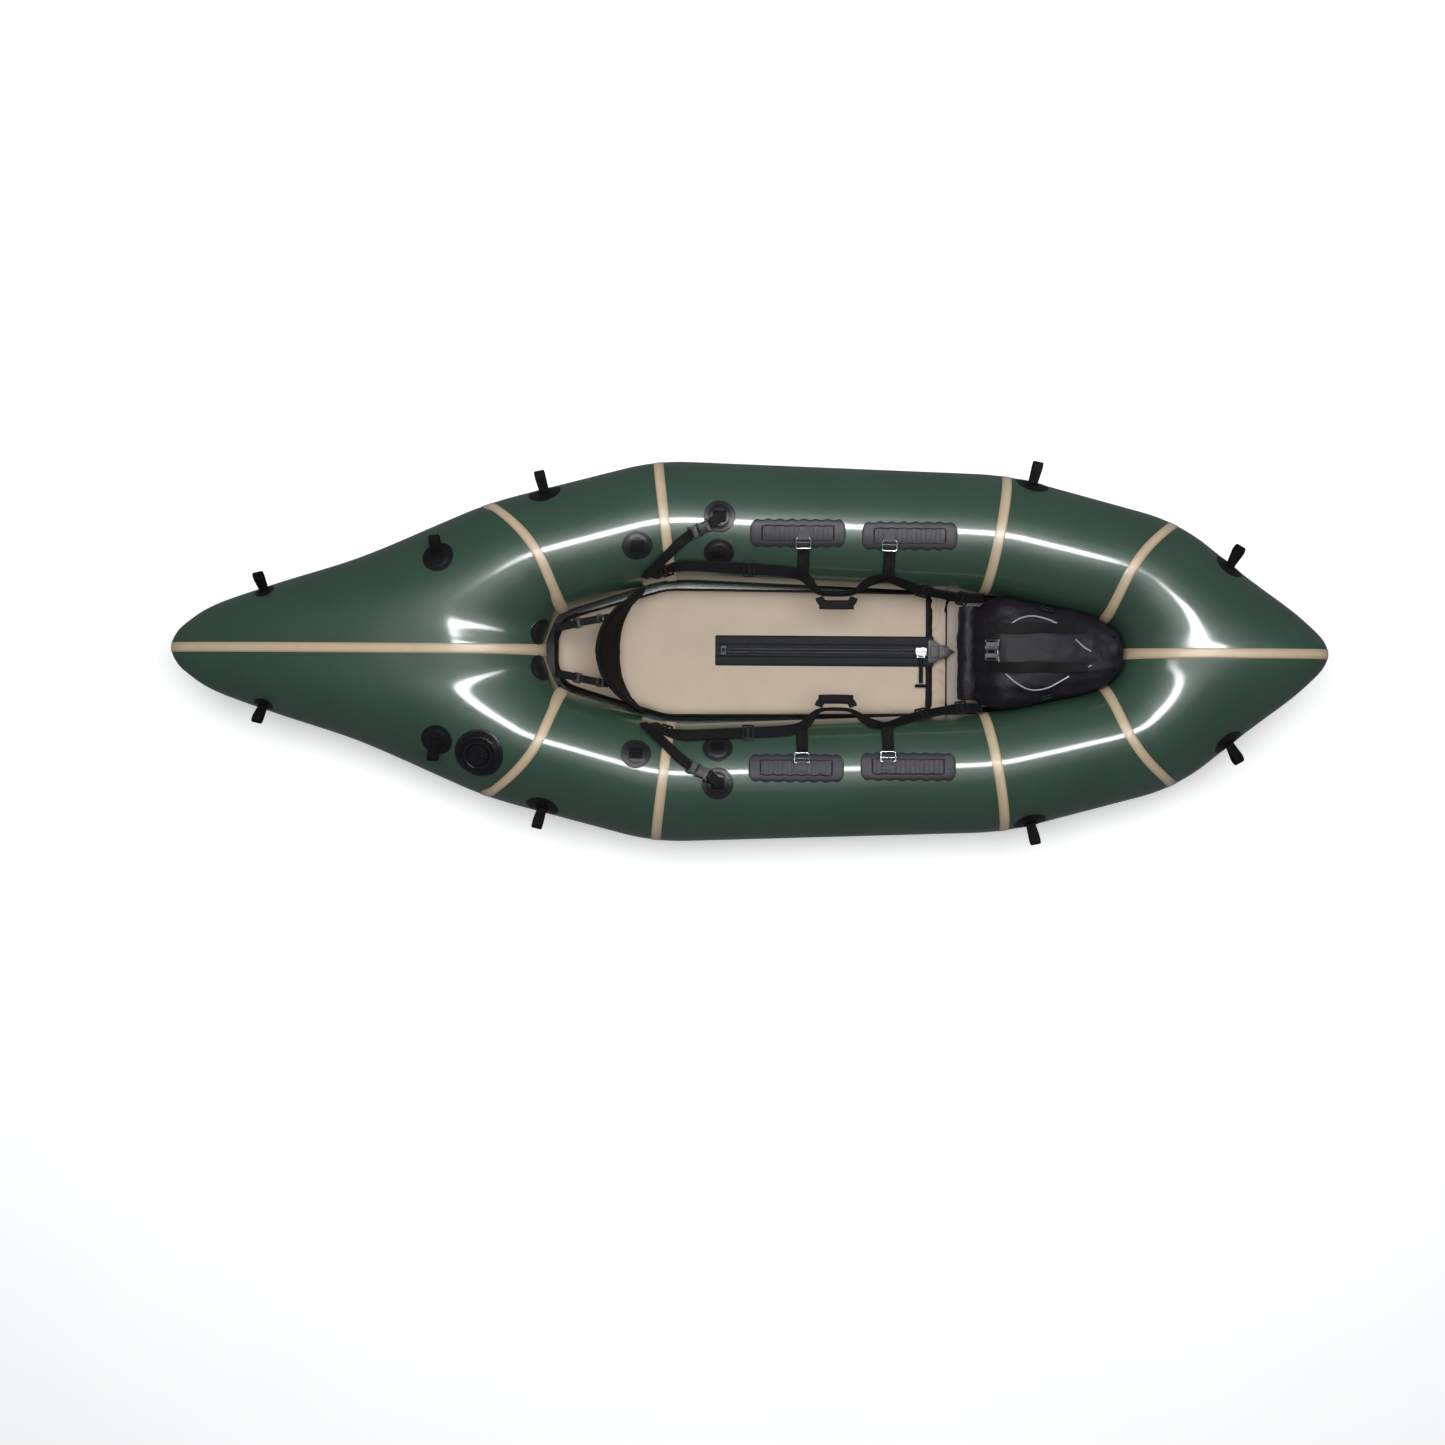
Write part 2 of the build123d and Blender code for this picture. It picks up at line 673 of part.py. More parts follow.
make_hull_pieces()
make_ring_tapes()
make_centre_tape("stern_centre_tape", "stern_shell")
make_centre_tape("bow_centre_tape", "bow_shell")
make_hull_floor()
make_seat_cushion()
make_front_cushion()
make_zipper()
make_zipper_slider()
make_bow_bag()
make_valve()
make_patches()
make_loops()
make_thigh_pads()
make_hooks()
make_thigh_straps()
make_grab_handles()
make_hip_straps()
make_backband()
make_stern_straps()
make_adjusters()
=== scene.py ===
"""Looks of the packraft: welded fabric hull, air seat, straps, deck bag. Metres, +X is the bow."""
import math

import bmesh
import bpy
from mathutils import Matrix, Vector, noise
from mathutils.bvhtree import BVHTree


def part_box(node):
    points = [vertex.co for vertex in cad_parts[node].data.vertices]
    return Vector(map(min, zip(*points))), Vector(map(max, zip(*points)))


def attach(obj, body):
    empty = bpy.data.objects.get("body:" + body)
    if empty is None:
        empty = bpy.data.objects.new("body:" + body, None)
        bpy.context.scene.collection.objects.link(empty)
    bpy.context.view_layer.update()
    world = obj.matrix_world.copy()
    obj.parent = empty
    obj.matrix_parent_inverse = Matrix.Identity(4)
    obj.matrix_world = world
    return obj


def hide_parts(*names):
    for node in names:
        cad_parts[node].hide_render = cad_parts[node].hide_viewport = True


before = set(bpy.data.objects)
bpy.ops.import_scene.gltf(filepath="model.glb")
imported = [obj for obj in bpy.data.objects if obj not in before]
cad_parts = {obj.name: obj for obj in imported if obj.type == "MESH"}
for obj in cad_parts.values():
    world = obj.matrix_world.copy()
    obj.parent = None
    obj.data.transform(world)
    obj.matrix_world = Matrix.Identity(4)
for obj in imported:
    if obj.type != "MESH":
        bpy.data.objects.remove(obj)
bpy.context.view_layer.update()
scene = bpy.context.scene
X, Y, Z = Vector((1, 0, 0)), Vector((0, 1, 0)), Vector((0, 0, 1))


# ------------------------------------------------------------------ studio
def link(name, data, place=Matrix.Identity(4)):
    """New object in the scene."""
    thing = bpy.data.objects.new(name, data)
    thing.matrix_world = place
    scene.collection.objects.link(thing)
    return thing


def make_camera():
    """Straight over the cockpit, turned by under half a degree."""
    lens = bpy.data.cameras.new("camera")
    lens.lens = 58.7
    lens.sensor_width = 36
    scene.camera = link("camera", lens, Matrix.Translation((-0.060, -0.180, 6.15))
                        @ Matrix.Rotation(0.0070, 4, "Z"))


def make_light(name, place, target, size, power, shines=True, mirrored=True, spread=180):
    """Soft box; shines says that it lights dull surfaces, mirrored that gloss shows it."""
    lamp = bpy.data.lights.new(name, "AREA")
    lamp.shape = "RECTANGLE"
    lamp.size, lamp.size_y = size
    lamp.energy = power
    lamp.spread = math.radians(spread)
    place = Vector(place)
    turn = (Vector(target) - place).to_track_quat("-Z", "Y").to_matrix().to_4x4()
    made = link(name, lamp, Matrix.Translation(place) @ turn)
    made.visible_camera = False
    made.visible_diffuse = shines
    made.visible_glossy = mirrored


def make_studio():
    """Pale floor under soft boxes; two of them show only as the gloss on the wet-looking hull."""
    make_camera()
    make_light("strip", (0.26, 0.24, 1.95), (0.26, 0.24, 0), (1.80, 0.22), 14, shines=False, spread=90)
    make_light("sheen", (-0.10, -0.10, 3.60), (0, 0, 0), (2.6, 1.7), 4, shines=False)
    make_light("overhead", (0.1, 0.5, 4.4), (0.1, 0, 0), (5.0, 3.0), 222, mirrored=False)
    make_light("side_fill", (0.3, 3.4, 2.4), (0, 0, 0.1), (4.0, 1.2), 30, mirrored=False)
    world = bpy.data.worlds.new("studio")
    scene.world = world
    world.use_nodes = True
    sky = world.node_tree.nodes["Background"]
    sky.inputs["Color"].default_value = (0.86, 0.93, 1.0, 1)
    sky.inputs["Strength"].default_value = 0.13
    scene.view_settings.view_transform = "Standard"
    ground = bmesh.new()
    bmesh.ops.create_grid(ground, x_segments=8, y_segments=8, size=9)
    mesh = bpy.data.meshes.new("floor")
    ground.to_mesh(mesh)
    floor = link("floor", mesh, Matrix.Translation((0, 0, -0.0006)))
    floor.visible_glossy = False
    mesh.materials.append(material("studio_paint", studio_paint))


# --------------------------------------------------------------- materials
def srgb(code):
    """Linear colour from an sRGB hex code."""
    channels = [int(code[k:k + 2], 16) / 255 for k in (1, 3, 5)]
    return (*[c / 12.92 if c <= 0.04045 else ((c + 0.055) / 1.055) ** 2.4 for c in channels], 1)


def add(tree, kind, inputs, out=0, **settings):
    """Add a node and give back one of its outputs; inputs are values or other nodes' outputs."""
    made = tree.nodes.new(f"ShaderNode{kind}")
    for key, value in settings.items():
        setattr(made, key, value)
    for socket, value in inputs.items():
        if isinstance(value, bpy.types.NodeSocket):
            tree.links.new(value, made.inputs[socket])
        else:
            made.inputs[socket].default_value = value
    return made.outputs[out] if len(made.outputs) else None


def material(name, surface, *settings):
    """Material whose surface one of the functions below makes."""
    made = bpy.data.materials.new(name)
    made.use_nodes = True
    made.node_tree.nodes.clear()
    add(made.node_tree, "OutputMaterial", {"Surface": surface(made.node_tree, *settings)})
    return made


def noise_scale(size):
    """Noise scale that gives blobs about size millimetres across."""
    return 1000 / size


def wave_scale(pitch):
    """Wave scale that gives ridges pitch millimetres apart."""
    return 100 * math.pi / pitch


def plain_weave(tree, space, spacing, waver=0.0):
    """Height of threads that cross at right angles, spacing millimetres apart."""
    warp, weft = [add(tree, "TexWave", {"Vector": space, "Scale": wave_scale(spacing), "Distortion": waver,
                                        "Detail": 1.0}, "Fac", bands_direction=way) for way in "XY"]
    return add(tree, "Math", {0: warp, 1: weft}, operation="ADD")


def studio_paint(tree):
    """Matt white studio paint: pale and even, with a faint roller grain."""
    space = add(tree, "TexCoord", {}, "Object")
    cloud = add(tree, "TexNoise", {"Vector": space, "Scale": noise_scale(400)})
    grain = add(tree, "TexNoise", {"Vector": space, "Scale": noise_scale(4)})
    return add(tree, "BsdfPrincipled", {
        "Base Color": add(tree, "Mix", {0: cloud, 6: srgb("#F6F6F6"), 7: srgb("#FCFCFC")}, 2, data_type="RGBA"),
        "Roughness": 0.8, "Emission Color": (1, 1, 1, 1), "Emission Strength": 0.30,
        "Normal": add(tree, "Bump", {"Height": grain, "Distance": 0.0002})})


def coated_nylon(tree, dark, light, rough, coat):
    """TPU film laminated on nylon: a wet-looking gloss over a fine cloth, slightly uneven
    where the air stretches it. The threads are really 0.4 mm and are drawn at 1.6 mm."""
    space = add(tree, "TexCoord", {}, "Object")
    cloud = add(tree, "TexNoise", {"Vector": space, "Scale": noise_scale(160), "Detail": 3})
    swell = add(tree, "TexNoise", {"Vector": space, "Scale": noise_scale(110), "Detail": 1.5})
    rub = add(tree, "TexNoise", {"Vector": space, "Scale": noise_scale(20)})
    bump = add(tree, "Bump", {"Height": swell, "Distance": 0.0009})
    bump = add(tree, "Bump", {"Height": plain_weave(tree, space, 1.6), "Distance": 0.00003, "Normal": bump})
    return add(tree, "BsdfPrincipled", {
        "Base Color": add(tree, "Mix", {0: cloud, 6: srgb(dark), 7: srgb(light)}, 2, data_type="RGBA"),
        "Roughness": add(tree, "MapRange", {"Value": rub, "To Min": rough - 0.04, "To Max": rough + 0.05}),
        "Normal": bump, "Coat Weight": coat, "Coat Roughness": 0.13, "Coat IOR": 1.5, "IOR": 1.47})


def welded_tape(tree):
    """Beige TPU tape, hot-welded: satin, rolled flat, its edges a touch darker."""
    strip = add(tree, "UVMap", {}, uv_map="metres")
    across = add(tree, "SeparateXYZ", {0: strip})
    square = add(tree, "Math", {0: across, 1: across}, operation="MULTIPLY")
    edge_darkening = 0.8125 / 0.0125 ** 2      # four fifths of the darker edge colour at the very edge
    # Darker towards the tape's edges.
    edge_dark = add(tree, "Clamp", {0: add(tree, "Math", {0: square, 1: edge_darkening}, operation="MULTIPLY")})
    cloud = add(tree, "TexNoise", {"Vector": add(tree, "TexCoord", {}, "Object"), "Scale": noise_scale(30)})
    clean = add(tree, "Mix", {0: cloud, 6: srgb("#AD9A80"), 7: srgb("#BBA98F")}, 2, data_type="RGBA")
    return add(tree, "BsdfPrincipled", {
        "Base Color": add(tree, "Mix", {0: edge_dark, 6: clean, 7: srgb("#907E66")}, 2, data_type="RGBA"),
        "Normal": add(tree, "Bump", {"Height": plain_weave(tree, strip, 1.2), "Distance": 0.00004}),
        "Roughness": 0.38, "Coat Weight": 0.25, "Coat Roughness": 0.2})


def seat_nylon(tree, dark, light, crease=0.0016):
    """Uncoated side of the seat's nylon: dull woven cloth with faint stains and soft creases.
    Threads are really 0.5 mm and are drawn at 2 mm."""
    space = add(tree, "TexCoord", {}, "Object")
    stain = add(tree, "TexNoise", {"Vector": space, "Scale": noise_scale(90), "Detail": 4, "Roughness": 0.6})
    cloth = add(tree, "Mix", {0: stain, 6: srgb(dark), 7: srgb(light)}, 2, data_type="RGBA")
    weave = plain_weave(tree, space, 2, 0.4)
    gaps = add(tree, "MapRange", {"Value": weave, "To Min": 0, "To Max": 0.16})
    fold = add(tree, "TexNoise", {"Vector": space, "Scale": noise_scale(55), "Detail": 3, "Roughness": 0.45})
    bump = add(tree, "Bump", {"Height": fold, "Distance": crease})
    bump = add(tree, "Bump", {"Height": weave, "Distance": 0.00018, "Normal": bump})
    return add(tree, "BsdfPrincipled", {
        "Base Color": add(tree, "Mix", {0: gaps, 6: cloth, 7: srgb("#7C6F5C")}, 2, data_type="RGBA"),
        "Roughness": 0.72, "Normal": bump, "Sheen Weight": 0.06, "Sheen Roughness": 0.4})


def woven_webbing(tree, dark, light, rough=0.62):
    """Polyester webbing: dull ribs across it under a diagonal of threads, with painted light on the
    rib tops and painted shade in the grooves. The rib pitch is really 1.2 mm and is drawn at 2.4 mm."""
    strip = add(tree, "UVMap", {}, uv_map="metres")
    rib = add(tree, "TexWave", {"Vector": strip, "Scale": wave_scale(2.4), "Distortion": 0.6, "Detail": 1.0},
              "Fac", bands_direction="Y")
    thread = add(tree, "TexWave", {"Vector": strip, "Scale": wave_scale(3), "Distortion": 0.3, "Detail": 1.0},
                 "Fac", bands_direction="DIAGONAL")
    fine = add(tree, "Math", {0: thread, 1: 0.5}, operation="MULTIPLY")
    cloth = add(tree, "Math", {0: rib, 1: fine}, operation="ADD")
    # Rib tops painted lighter and grooves darker: painted light and shade; the cloud adds random tone.
    painted_rib_light = add(tree, "MapRange", {"Value": cloth, "To Min": 0, "To Max": 0.5})
    cloud = add(tree, "TexNoise", {"Vector": add(tree, "TexCoord", {}, "Object"), "Scale": noise_scale(30)})
    shade = add(tree, "Math", {0: painted_rib_light, 1: cloud}, operation="MULTIPLY")
    return add(tree, "BsdfPrincipled", {
        "Base Color": add(tree, "Mix", {0: shade, 6: srgb(dark), 7: srgb(light)}, 2, data_type="RGBA"),
        "Roughness": rough, "Normal": add(tree, "Bump", {"Height": cloth, "Distance": 0.0004}),
        "Specular IOR Level": 0.16})


def moulded(tree, dark, light, rough, pebble=0.8, depth=0.00006):
    """Injection-moulded acetal or rubber: even colour, spark-eroded grain of pebble
    millimetres, rubbed brighter here and there."""
    space = add(tree, "TexCoord", {}, "Object")
    cloud = add(tree, "TexNoise", {"Vector": space, "Scale": noise_scale(12), "Detail": 3})
    rub = add(tree, "TexNoise", {"Vector": space, "Scale": noise_scale(20), "Detail": 3})
    grain = add(tree, "TexNoise", {"Vector": space, "Scale": noise_scale(pebble)})
    return add(tree, "BsdfPrincipled", {
        "Base Color": add(tree, "Mix", {0: cloud, 6: srgb(dark), 7: srgb(light)}, 2, data_type="RGBA"),
        "Roughness": add(tree, "MapRange", {"Value": rub, "To Min": rough - 0.08, "To Max": rough + 0.08}),
        "Normal": add(tree, "Bump", {"Height": grain, "Distance": depth}),
        "IOR": 1.5, "Specular IOR Level": 0.3})


def crinkled_nylon(tree):
    """Urethane-backed pack cloth, black with a purple cast: crisp creases, a low gloss, and painted shade in
    the hollows of the folds.
    Threads are really 0.5 mm and are drawn at 2.2 mm."""
    space = add(tree, "TexCoord", {}, "Object")
    fold = add(tree, "TexNoise", {"Vector": space, "Scale": noise_scale(50), "Detail": 4, "Roughness": 0.62})
    crease = add(tree, "TexVoronoi", {"Vector": space, "Scale": noise_scale(50)}, feature="SMOOTH_F1")
    slight = add(tree, "Math", {0: crease, 1: 0.35}, operation="MULTIPLY")
    crumple = add(tree, "Math", {0: fold, 1: slight}, operation="ADD")
    bump = add(tree, "Bump", {"Height": crumple, "Distance": 0.0042})
    bump = add(tree, "Bump", {"Height": plain_weave(tree, space, 2.2), "Distance": 0.00014, "Normal": bump})
    # The colour follows the folds' height: painted shade in their hollows, lighter on the raised folds.
    return add(tree, "BsdfPrincipled", {
        "Base Color": add(tree, "Mix", {0: fold, 6: srgb("#0F0D12"), 7: srgb("#1B181F")}, 2, data_type="RGBA"),
        "Roughness": 0.48, "Normal": bump, "Specular IOR Level": 0.22})


def spacer_mesh(tree):
    """Spacer mesh over foam: matt black, with nearly regular cells about 3 mm apart, their hollows painted
    darker as shade.
    """
    space = add(tree, "TexCoord", {}, "Object")
    cell_depth_and_shade = add(tree, "TexVoronoi", {"Vector": space, "Scale": 330.0, "Randomness": 0.15})
    foam = add(tree, "TexNoise", {"Vector": space, "Scale": noise_scale(40), "Detail": 3})
    bump = add(tree, "Bump", {"Height": foam, "Distance": 0.003})
    bump = add(tree, "Bump", {"Height": cell_depth_and_shade, "Distance": 0.0006, "Normal": bump})
    # Colour follows the cell depth: painted shade in the hollows of the cells.
    return add(tree, "BsdfPrincipled", {
        "Base Color": add(tree, "Mix", {0: cell_depth_and_shade, 6: srgb("#070708"), 7: srgb("#111113")}, 2, data_type="RGBA"),
        "Roughness": 0.75, "Normal": bump, "Specular IOR Level": 0.12})


def polished_metal(tree, dark, light, rough, brush):
    """Stainless or nickel plate: bright, with small rubbed marks and brush lines."""
    space = add(tree, "TexCoord", {}, "Object")
    marks = add(tree, "TexNoise", {"Vector": space, "Scale": noise_scale(3), "Detail": 4})
    lines = add(tree, "TexWave", {"Vector": space, "Scale": wave_scale(0.6), "Distortion": 3.0, "Detail": 1.0},
                "Fac", bands_direction="X")
    return add(tree, "BsdfPrincipled", {
        "Base Color": add(tree, "Mix", {0: marks, 6: srgb(dark), 7: srgb(light)}, 2, data_type="RGBA"),
        "Roughness": add(tree, "MapRange", {"Value": marks, "To Min": rough, "To Max": rough + 0.15}),
        "Metallic": 1.0, "Normal": add(tree, "Bump", {"Height": lines, "Distance": brush})})


def glass_bead_piping(tree):
    """Piping coated with glass beads: grey in flat light, flashing silver."""
    space = add(tree, "TexCoord", {}, "Object")
    cloud = add(tree, "TexNoise", {"Vector": space, "Scale": noise_scale(2)})
    beads = add(tree, "TexNoise", {"Vector": space, "Scale": noise_scale(1.2)})
    return add(tree, "BsdfPrincipled", {
        "Base Color": add(tree, "Mix", {0: cloud, 6: srgb("#9DA1A6"), 7: srgb("#E4E6E8")}, 2, data_type="RGBA"),
        "Metallic": 0.55, "Roughness": 0.34,
        "Normal": add(tree, "Bump", {"Height": beads, "Distance": 0.0001})})


make_studio()
FINISH = {
    "hull_fabric": material("coated_hull_nylon", coated_nylon, "#263C2F", "#2F4739", 0.42, 0.9),
    "seam_tape": material("welded_tape", welded_tape),
    "floor_fabric": material("heavy_floor_nylon", coated_nylon, "#16241C", "#1D2D24", 0.5, 0.2),
    "cushion_fabric": material("sand_seat_nylon", seat_nylon, "#B7A693", "#C8B7A4"),
    "front_fabric": material("pale_rest_nylon", seat_nylon, "#B0A59B", "#C2B7AD"),
    # Seat side walls: the sand seat cloth darkened to olive, painted shade down the walls and round the rim.
    "side_wall_shade": material("painted_shade_side_nylon", seat_nylon, "#3A3C31", "#474738", 0.0010),
    "black_webbing": material("black_polyester_webbing", woven_webbing, "#0A0A0B", "#19191C"),
    "black_piping": material("dark_binding_tape", woven_webbing, "#100C0A", "#241C18"),
    "bag_fabric": material("crinkled_pack_nylon", crinkled_nylon),
    "zip_tape": material("coated_zip_tape", woven_webbing, "#1B1C1E", "#26272A", 0.5),
    "zip_teeth": material("acetal_zip_rail", moulded, "#161719", "#212225", 0.4),
    "black_plastic": material("black_acetal", moulded, "#101012", "#18181A", 0.42),
    "bag_buckle_plastic": material("grey_acetal", moulded, "#1A1A1D", "#242427", 0.42),
    "reflective_piping": material("glass_bead_piping", glass_bead_piping),
    "patch_fabric": material("welded_black_tpu", moulded, "#0D0D0E", "#141416", 0.42, 1.6),
    "harness_patch_fabric": material("harness_tpu", moulded, "#131315", "#1C1C1F", 0.38, 1.6),
    "pad_rubber": material("moulded_eva_pad", moulded, "#222125", "#2C2A2F", 0.5, 1.2, 0.0001),
    "tab_fabric": material("grey_tab_webbing", woven_webbing, "#4B4D50", "#63656A"),
    "ring_steel": material("polished_stainless", polished_metal, "#B9BABC", "#E0E0E0", 0.12, 0.00002),
    "slider_metal": material("nickel_plate", polished_metal, "#A9AAAD", "#D8D8DA", 0.22, 0.00005),
    "valve_rubber": material("valve_rubber", moulded, "#121214", "#1A1A1C", 0.36, 1.2),
    "valve_plastic": material("valve_nylon", moulded, "#101012", "#1A1A1D", 0.32),
    "backband_fabric": material("spacer_mesh", spacer_mesh),
}


# ----------------------------------------------------------------- building
def curve_through(points, steps=6):
    """Smooth line through the given points."""
    given = [Vector(p) for p in points]
    given = [given[0] * 2 - given[1], *given, given[-1] * 2 - given[-2]]
    line = []
    for i in range(1, len(given) - 2):
        a, b, c, d = given[i - 1:i + 3]
        for k in range(steps):
            t = k / steps
            line.append(0.5 * (2 * b + (c - a) * t + (2 * a - 5 * b + 4 * c - d) * t * t
                               + (3 * b - 3 * c + d - a) * t ** 3))
    return line + [given[-2]]


def seat(point, normal, along):
    """Placement with +Z out of a surface and +X as near to along as it can be."""
    up = normal.normalized()
    side = up.cross(along).normalized()
    turn = Matrix((side.cross(up), side, up)).transposed().to_4x4()
    return Matrix.Translation(point) @ turn


class Shape:
    """Mesh being gathered, with metres across and along for woven finishes."""

    def __init__(self):
        self.points = []
        self.faces = []
        self.metres = []

    def grid(self, rows, wrap=False, loop=False, caps=False, metres=None):
        """Faces between rows of points; wrap closes each row, loop joins last row to first."""
        first, width = len(self.points), len(rows[0])
        for r, row in enumerate(rows):
            for c, point in enumerate(row):
                self.points.append(Vector(point))
                self.metres.append(metres[r][c] if metres else (point[0], point[1]))
        for r in range(len(rows) - (0 if loop else 1)):
            for c in range(width - (0 if wrap else 1)):
                a, b = first + r * width, first + (r + 1) % len(rows) * width
                d = (c + 1) % width
                self.faces.append((a + c, a + d, b + d, b + c))
        if caps:
            self.faces.append(tuple(range(first, first + width))[::-1])
            last = first + (len(rows) - 1) * width
            self.faces.append(tuple(range(last, last + width)))

    def ribbon(self, frames, widths, thick, loop=False):
        """Webbing on (centre of the underside, way up) pairs, its edges a little rounded."""
        rows, metres, travelled = [], [], 0.0
        count = len(frames)
        widths = widths if isinstance(widths, list) else [widths] * count
        for i, (centre, up) in enumerate(frames):
            after = frames[(i + 1) % count if loop else min(i + 1, count - 1)][0]
            before = frames[(i - 1) % count if loop else max(i - 1, 0)][0]
            along = (after - before).normalized()
            side = up.cross(along).normalized()
            rise = along.cross(side).normalized() * thick
            half, soft = widths[i] / 2, min(0.0012, widths[i] / 8)
            ring = [(-half, 0.5), (-half + soft, 0), (half - soft, 0), (half, 0.5),
                    (half - soft, 1), (half / 2, 1), (-half / 2, 1), (-half + soft, 1)]
            rows.append([centre + side * s + rise * h for s, h in ring])
            metres.append([(s, travelled) for s, h in ring])
            travelled += (after - centre).length
        self.grid(rows, wrap=True, loop=loop, caps=not loop, metres=metres)

    def tube(self, line, radius, loop=False, sides=10, flat=1.0, up=Z):
        """Round cord or bar along a line; flat squeezes it across the way up."""
        rows, metres, travelled = [], [], 0.0
        count = len(line)
        for i, centre in enumerate(line):
            after = line[(i + 1) % count if loop else min(i + 1, count - 1)]
            before = line[(i - 1) % count if loop else max(i - 1, 0)]
            along = (after - before).normalized()
            side = up.cross(along)
            side = side.normalized() if side.length > 1e-6 else along.orthogonal().normalized()
            rise = along.cross(side).normalized()
            size = radius[i] if isinstance(radius, list) else radius
            turns = [2 * math.pi * k / sides for k in range(sides)]
            rows.append([centre + side * size * math.cos(a) + rise * size * flat * math.sin(a)
                         for a in turns])
            metres.append([(size * math.cos(a), travelled) for a in turns])
            travelled += (after - centre).length
        self.grid(rows, wrap=True, loop=loop, caps=not loop, metres=metres)

    def plate(self, outline, thick, place, holes=(), bevel=0.0008):
        """Moulded plate, its edges rounded, lying on the XY plane of place."""
        flat = bpy.data.curves.new("outline", "CURVE")
        flat.dimensions = "2D"
        flat.fill_mode = "BOTH"
        flat.extrude = thick / 2 - bevel
        flat.bevel_depth = bevel
        flat.bevel_resolution = 2
        flat.offset = -bevel
        for ring in (outline, *holes):
            spline = flat.splines.new("POLY")
            spline.points.add(len(ring) - 1)
            for corner, (x, y) in zip(spline.points, ring):
                corner.co = (x, y, 0, 1)
            spline.use_cyclic_u = True
        maker = link("outline", flat)
        bpy.context.view_layer.update()
        solid = bpy.data.meshes.new_from_object(maker.evaluated_get(bpy.context.evaluated_depsgraph_get()))
        first = len(self.points)
        self.points += [place @ v.co for v in solid.vertices]
        self.metres += [(v.co.x, v.co.y) for v in solid.vertices]
        self.faces += [tuple(first + i for i in face.vertices) for face in solid.polygons]
        bpy.data.objects.remove(maker)
        bpy.data.curves.remove(flat)
        bpy.data.meshes.remove(solid)

    def mirrored(self):
        """The same form on the other side of the boat."""
        other = Shape()
        other.points = [Vector((p.x, -p.y, p.z)) for p in self.points]
        other.faces = [face[::-1] for face in self.faces]
        other.metres = list(self.metres)
        return other

    def join(self, other):
        first = len(self.points)
        self.points += other.points
        self.metres += other.metres
        self.faces += [tuple(first + i for i in face) for face in other.faces]
        return self

    def piece(self, name, slot, replaces=(), body="hull", finish=None, crease=35):
        """Turn it into an object that rides on a body."""
        mesh = bpy.data.meshes.new(name)
        mesh.from_pydata(self.points, [], self.faces)
        layer = mesh.uv_layers.new(name="metres")
        for loop in mesh.loops:
            layer.data[loop.index].uv = self.metres[loop.vertex_index]
        tidy = bmesh.new()
        tidy.from_mesh(mesh)
        bmesh.ops.remove_doubles(tidy, verts=tidy.verts, dist=1e-6)
        bmesh.ops.recalc_face_normals(tidy, faces=tidy.faces)
        tidy.to_mesh(mesh)
        tidy.free()
        mesh.shade_smooth()
        mesh.set_sharp_from_angle(angle=math.radians(crease))
        mesh.materials.append(FINISH[finish or slot])
        made = link(name, mesh)
        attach(made, body)
        if replaces:
            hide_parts(*([replaces] if isinstance(replaces, str) else replaces))
        return made


def pair(name, shape, slot, body=None, finish=None, replace=True, crease=35):
    """The port and starboard pieces of a mirrored pair."""
    made = []
    for side, form in (("port", shape), ("starboard", shape.mirrored())):
        node = f"{name}_{side}"
        made.append(form.piece(f"{node}_piece", slot, node if replace else (), body or "hull", finish, crease))
    return made


def rounded(length, width, corner, steps=5):
    """Closed outline of a rectangle with round corners."""
    ring = []
    for cx, cy, turn in ((1, 1, 0), (-1, 1, 90), (-1, -1, 180), (1, -1, 270)):
        for k in range(steps + 1):
            a = math.radians(turn + 90 * k / steps)
            ring.append((cx * (length / 2 - corner) + corner * math.cos(a),
                         cy * (width / 2 - corner) + corner * math.sin(a)))
    return ring


def shifted(ring, x, y=0.0):
    """Outline moved along and across."""
    return [(a + x, b + y) for a, b in ring]


# --------------------------------------------------------------------- hull
TUBE_R, TUBE_Z = 0.150, 0.150
STERN_RISE, BOW_RISE = 0.060, 0.112
STERN_CREST, BOW_CREST = 0.25, 0.40
TAPE_W = 0.025
TAPE_RAISED = 0.0011

# Plan of the port side: outer and inner points from the last tube seam to the middle.
STERN_OUTER = [(-0.660, 0.374), (-0.780, 0.321), (-0.984, 0.233), (-1.187, 0.166), (-1.340, 0.110),
               (-1.414, 0.062), (-1.442, 0.029), (-1.450, 0.0)]
STERN_INNER = [(-0.474, 0.098), (-0.484, 0.082), (-0.494, 0.063), (-0.501, 0.046), (-0.507, 0.028),
               (-0.510, 0.014), (-0.511, 0.006), (-0.512, 0.0)]
BOW_OUTER = [(1.085, 0.340), (1.157, 0.287), (1.259, 0.203), (1.361, 0.120), (1.412, 0.070),
             (1.441, 0.033), (1.450, 0.0)]
BOW_INNER = [(0.912, 0.082), (0.924, 0.062), (0.935, 0.043), (0.942, 0.026), (0.945, 0.014),
             (0.947, 0.006), (0.948, 0.0)]
HIP = ((-0.232, 0.485), (-0.201, 0.185))
THIGH = ((0.660, 0.454), (0.609, 0.153))
PANELS = ["stern_shell", "stern_quarter_tube", "mid_tube", "bow_quarter_tube", "bow_shell"]
PANEL_LENGTHS = [0.88, 0.44, 0.89, 0.44, 0.52]     # along the outside
SEAM_BEND = 0.085                                   # how far from a seam the side starts to turn


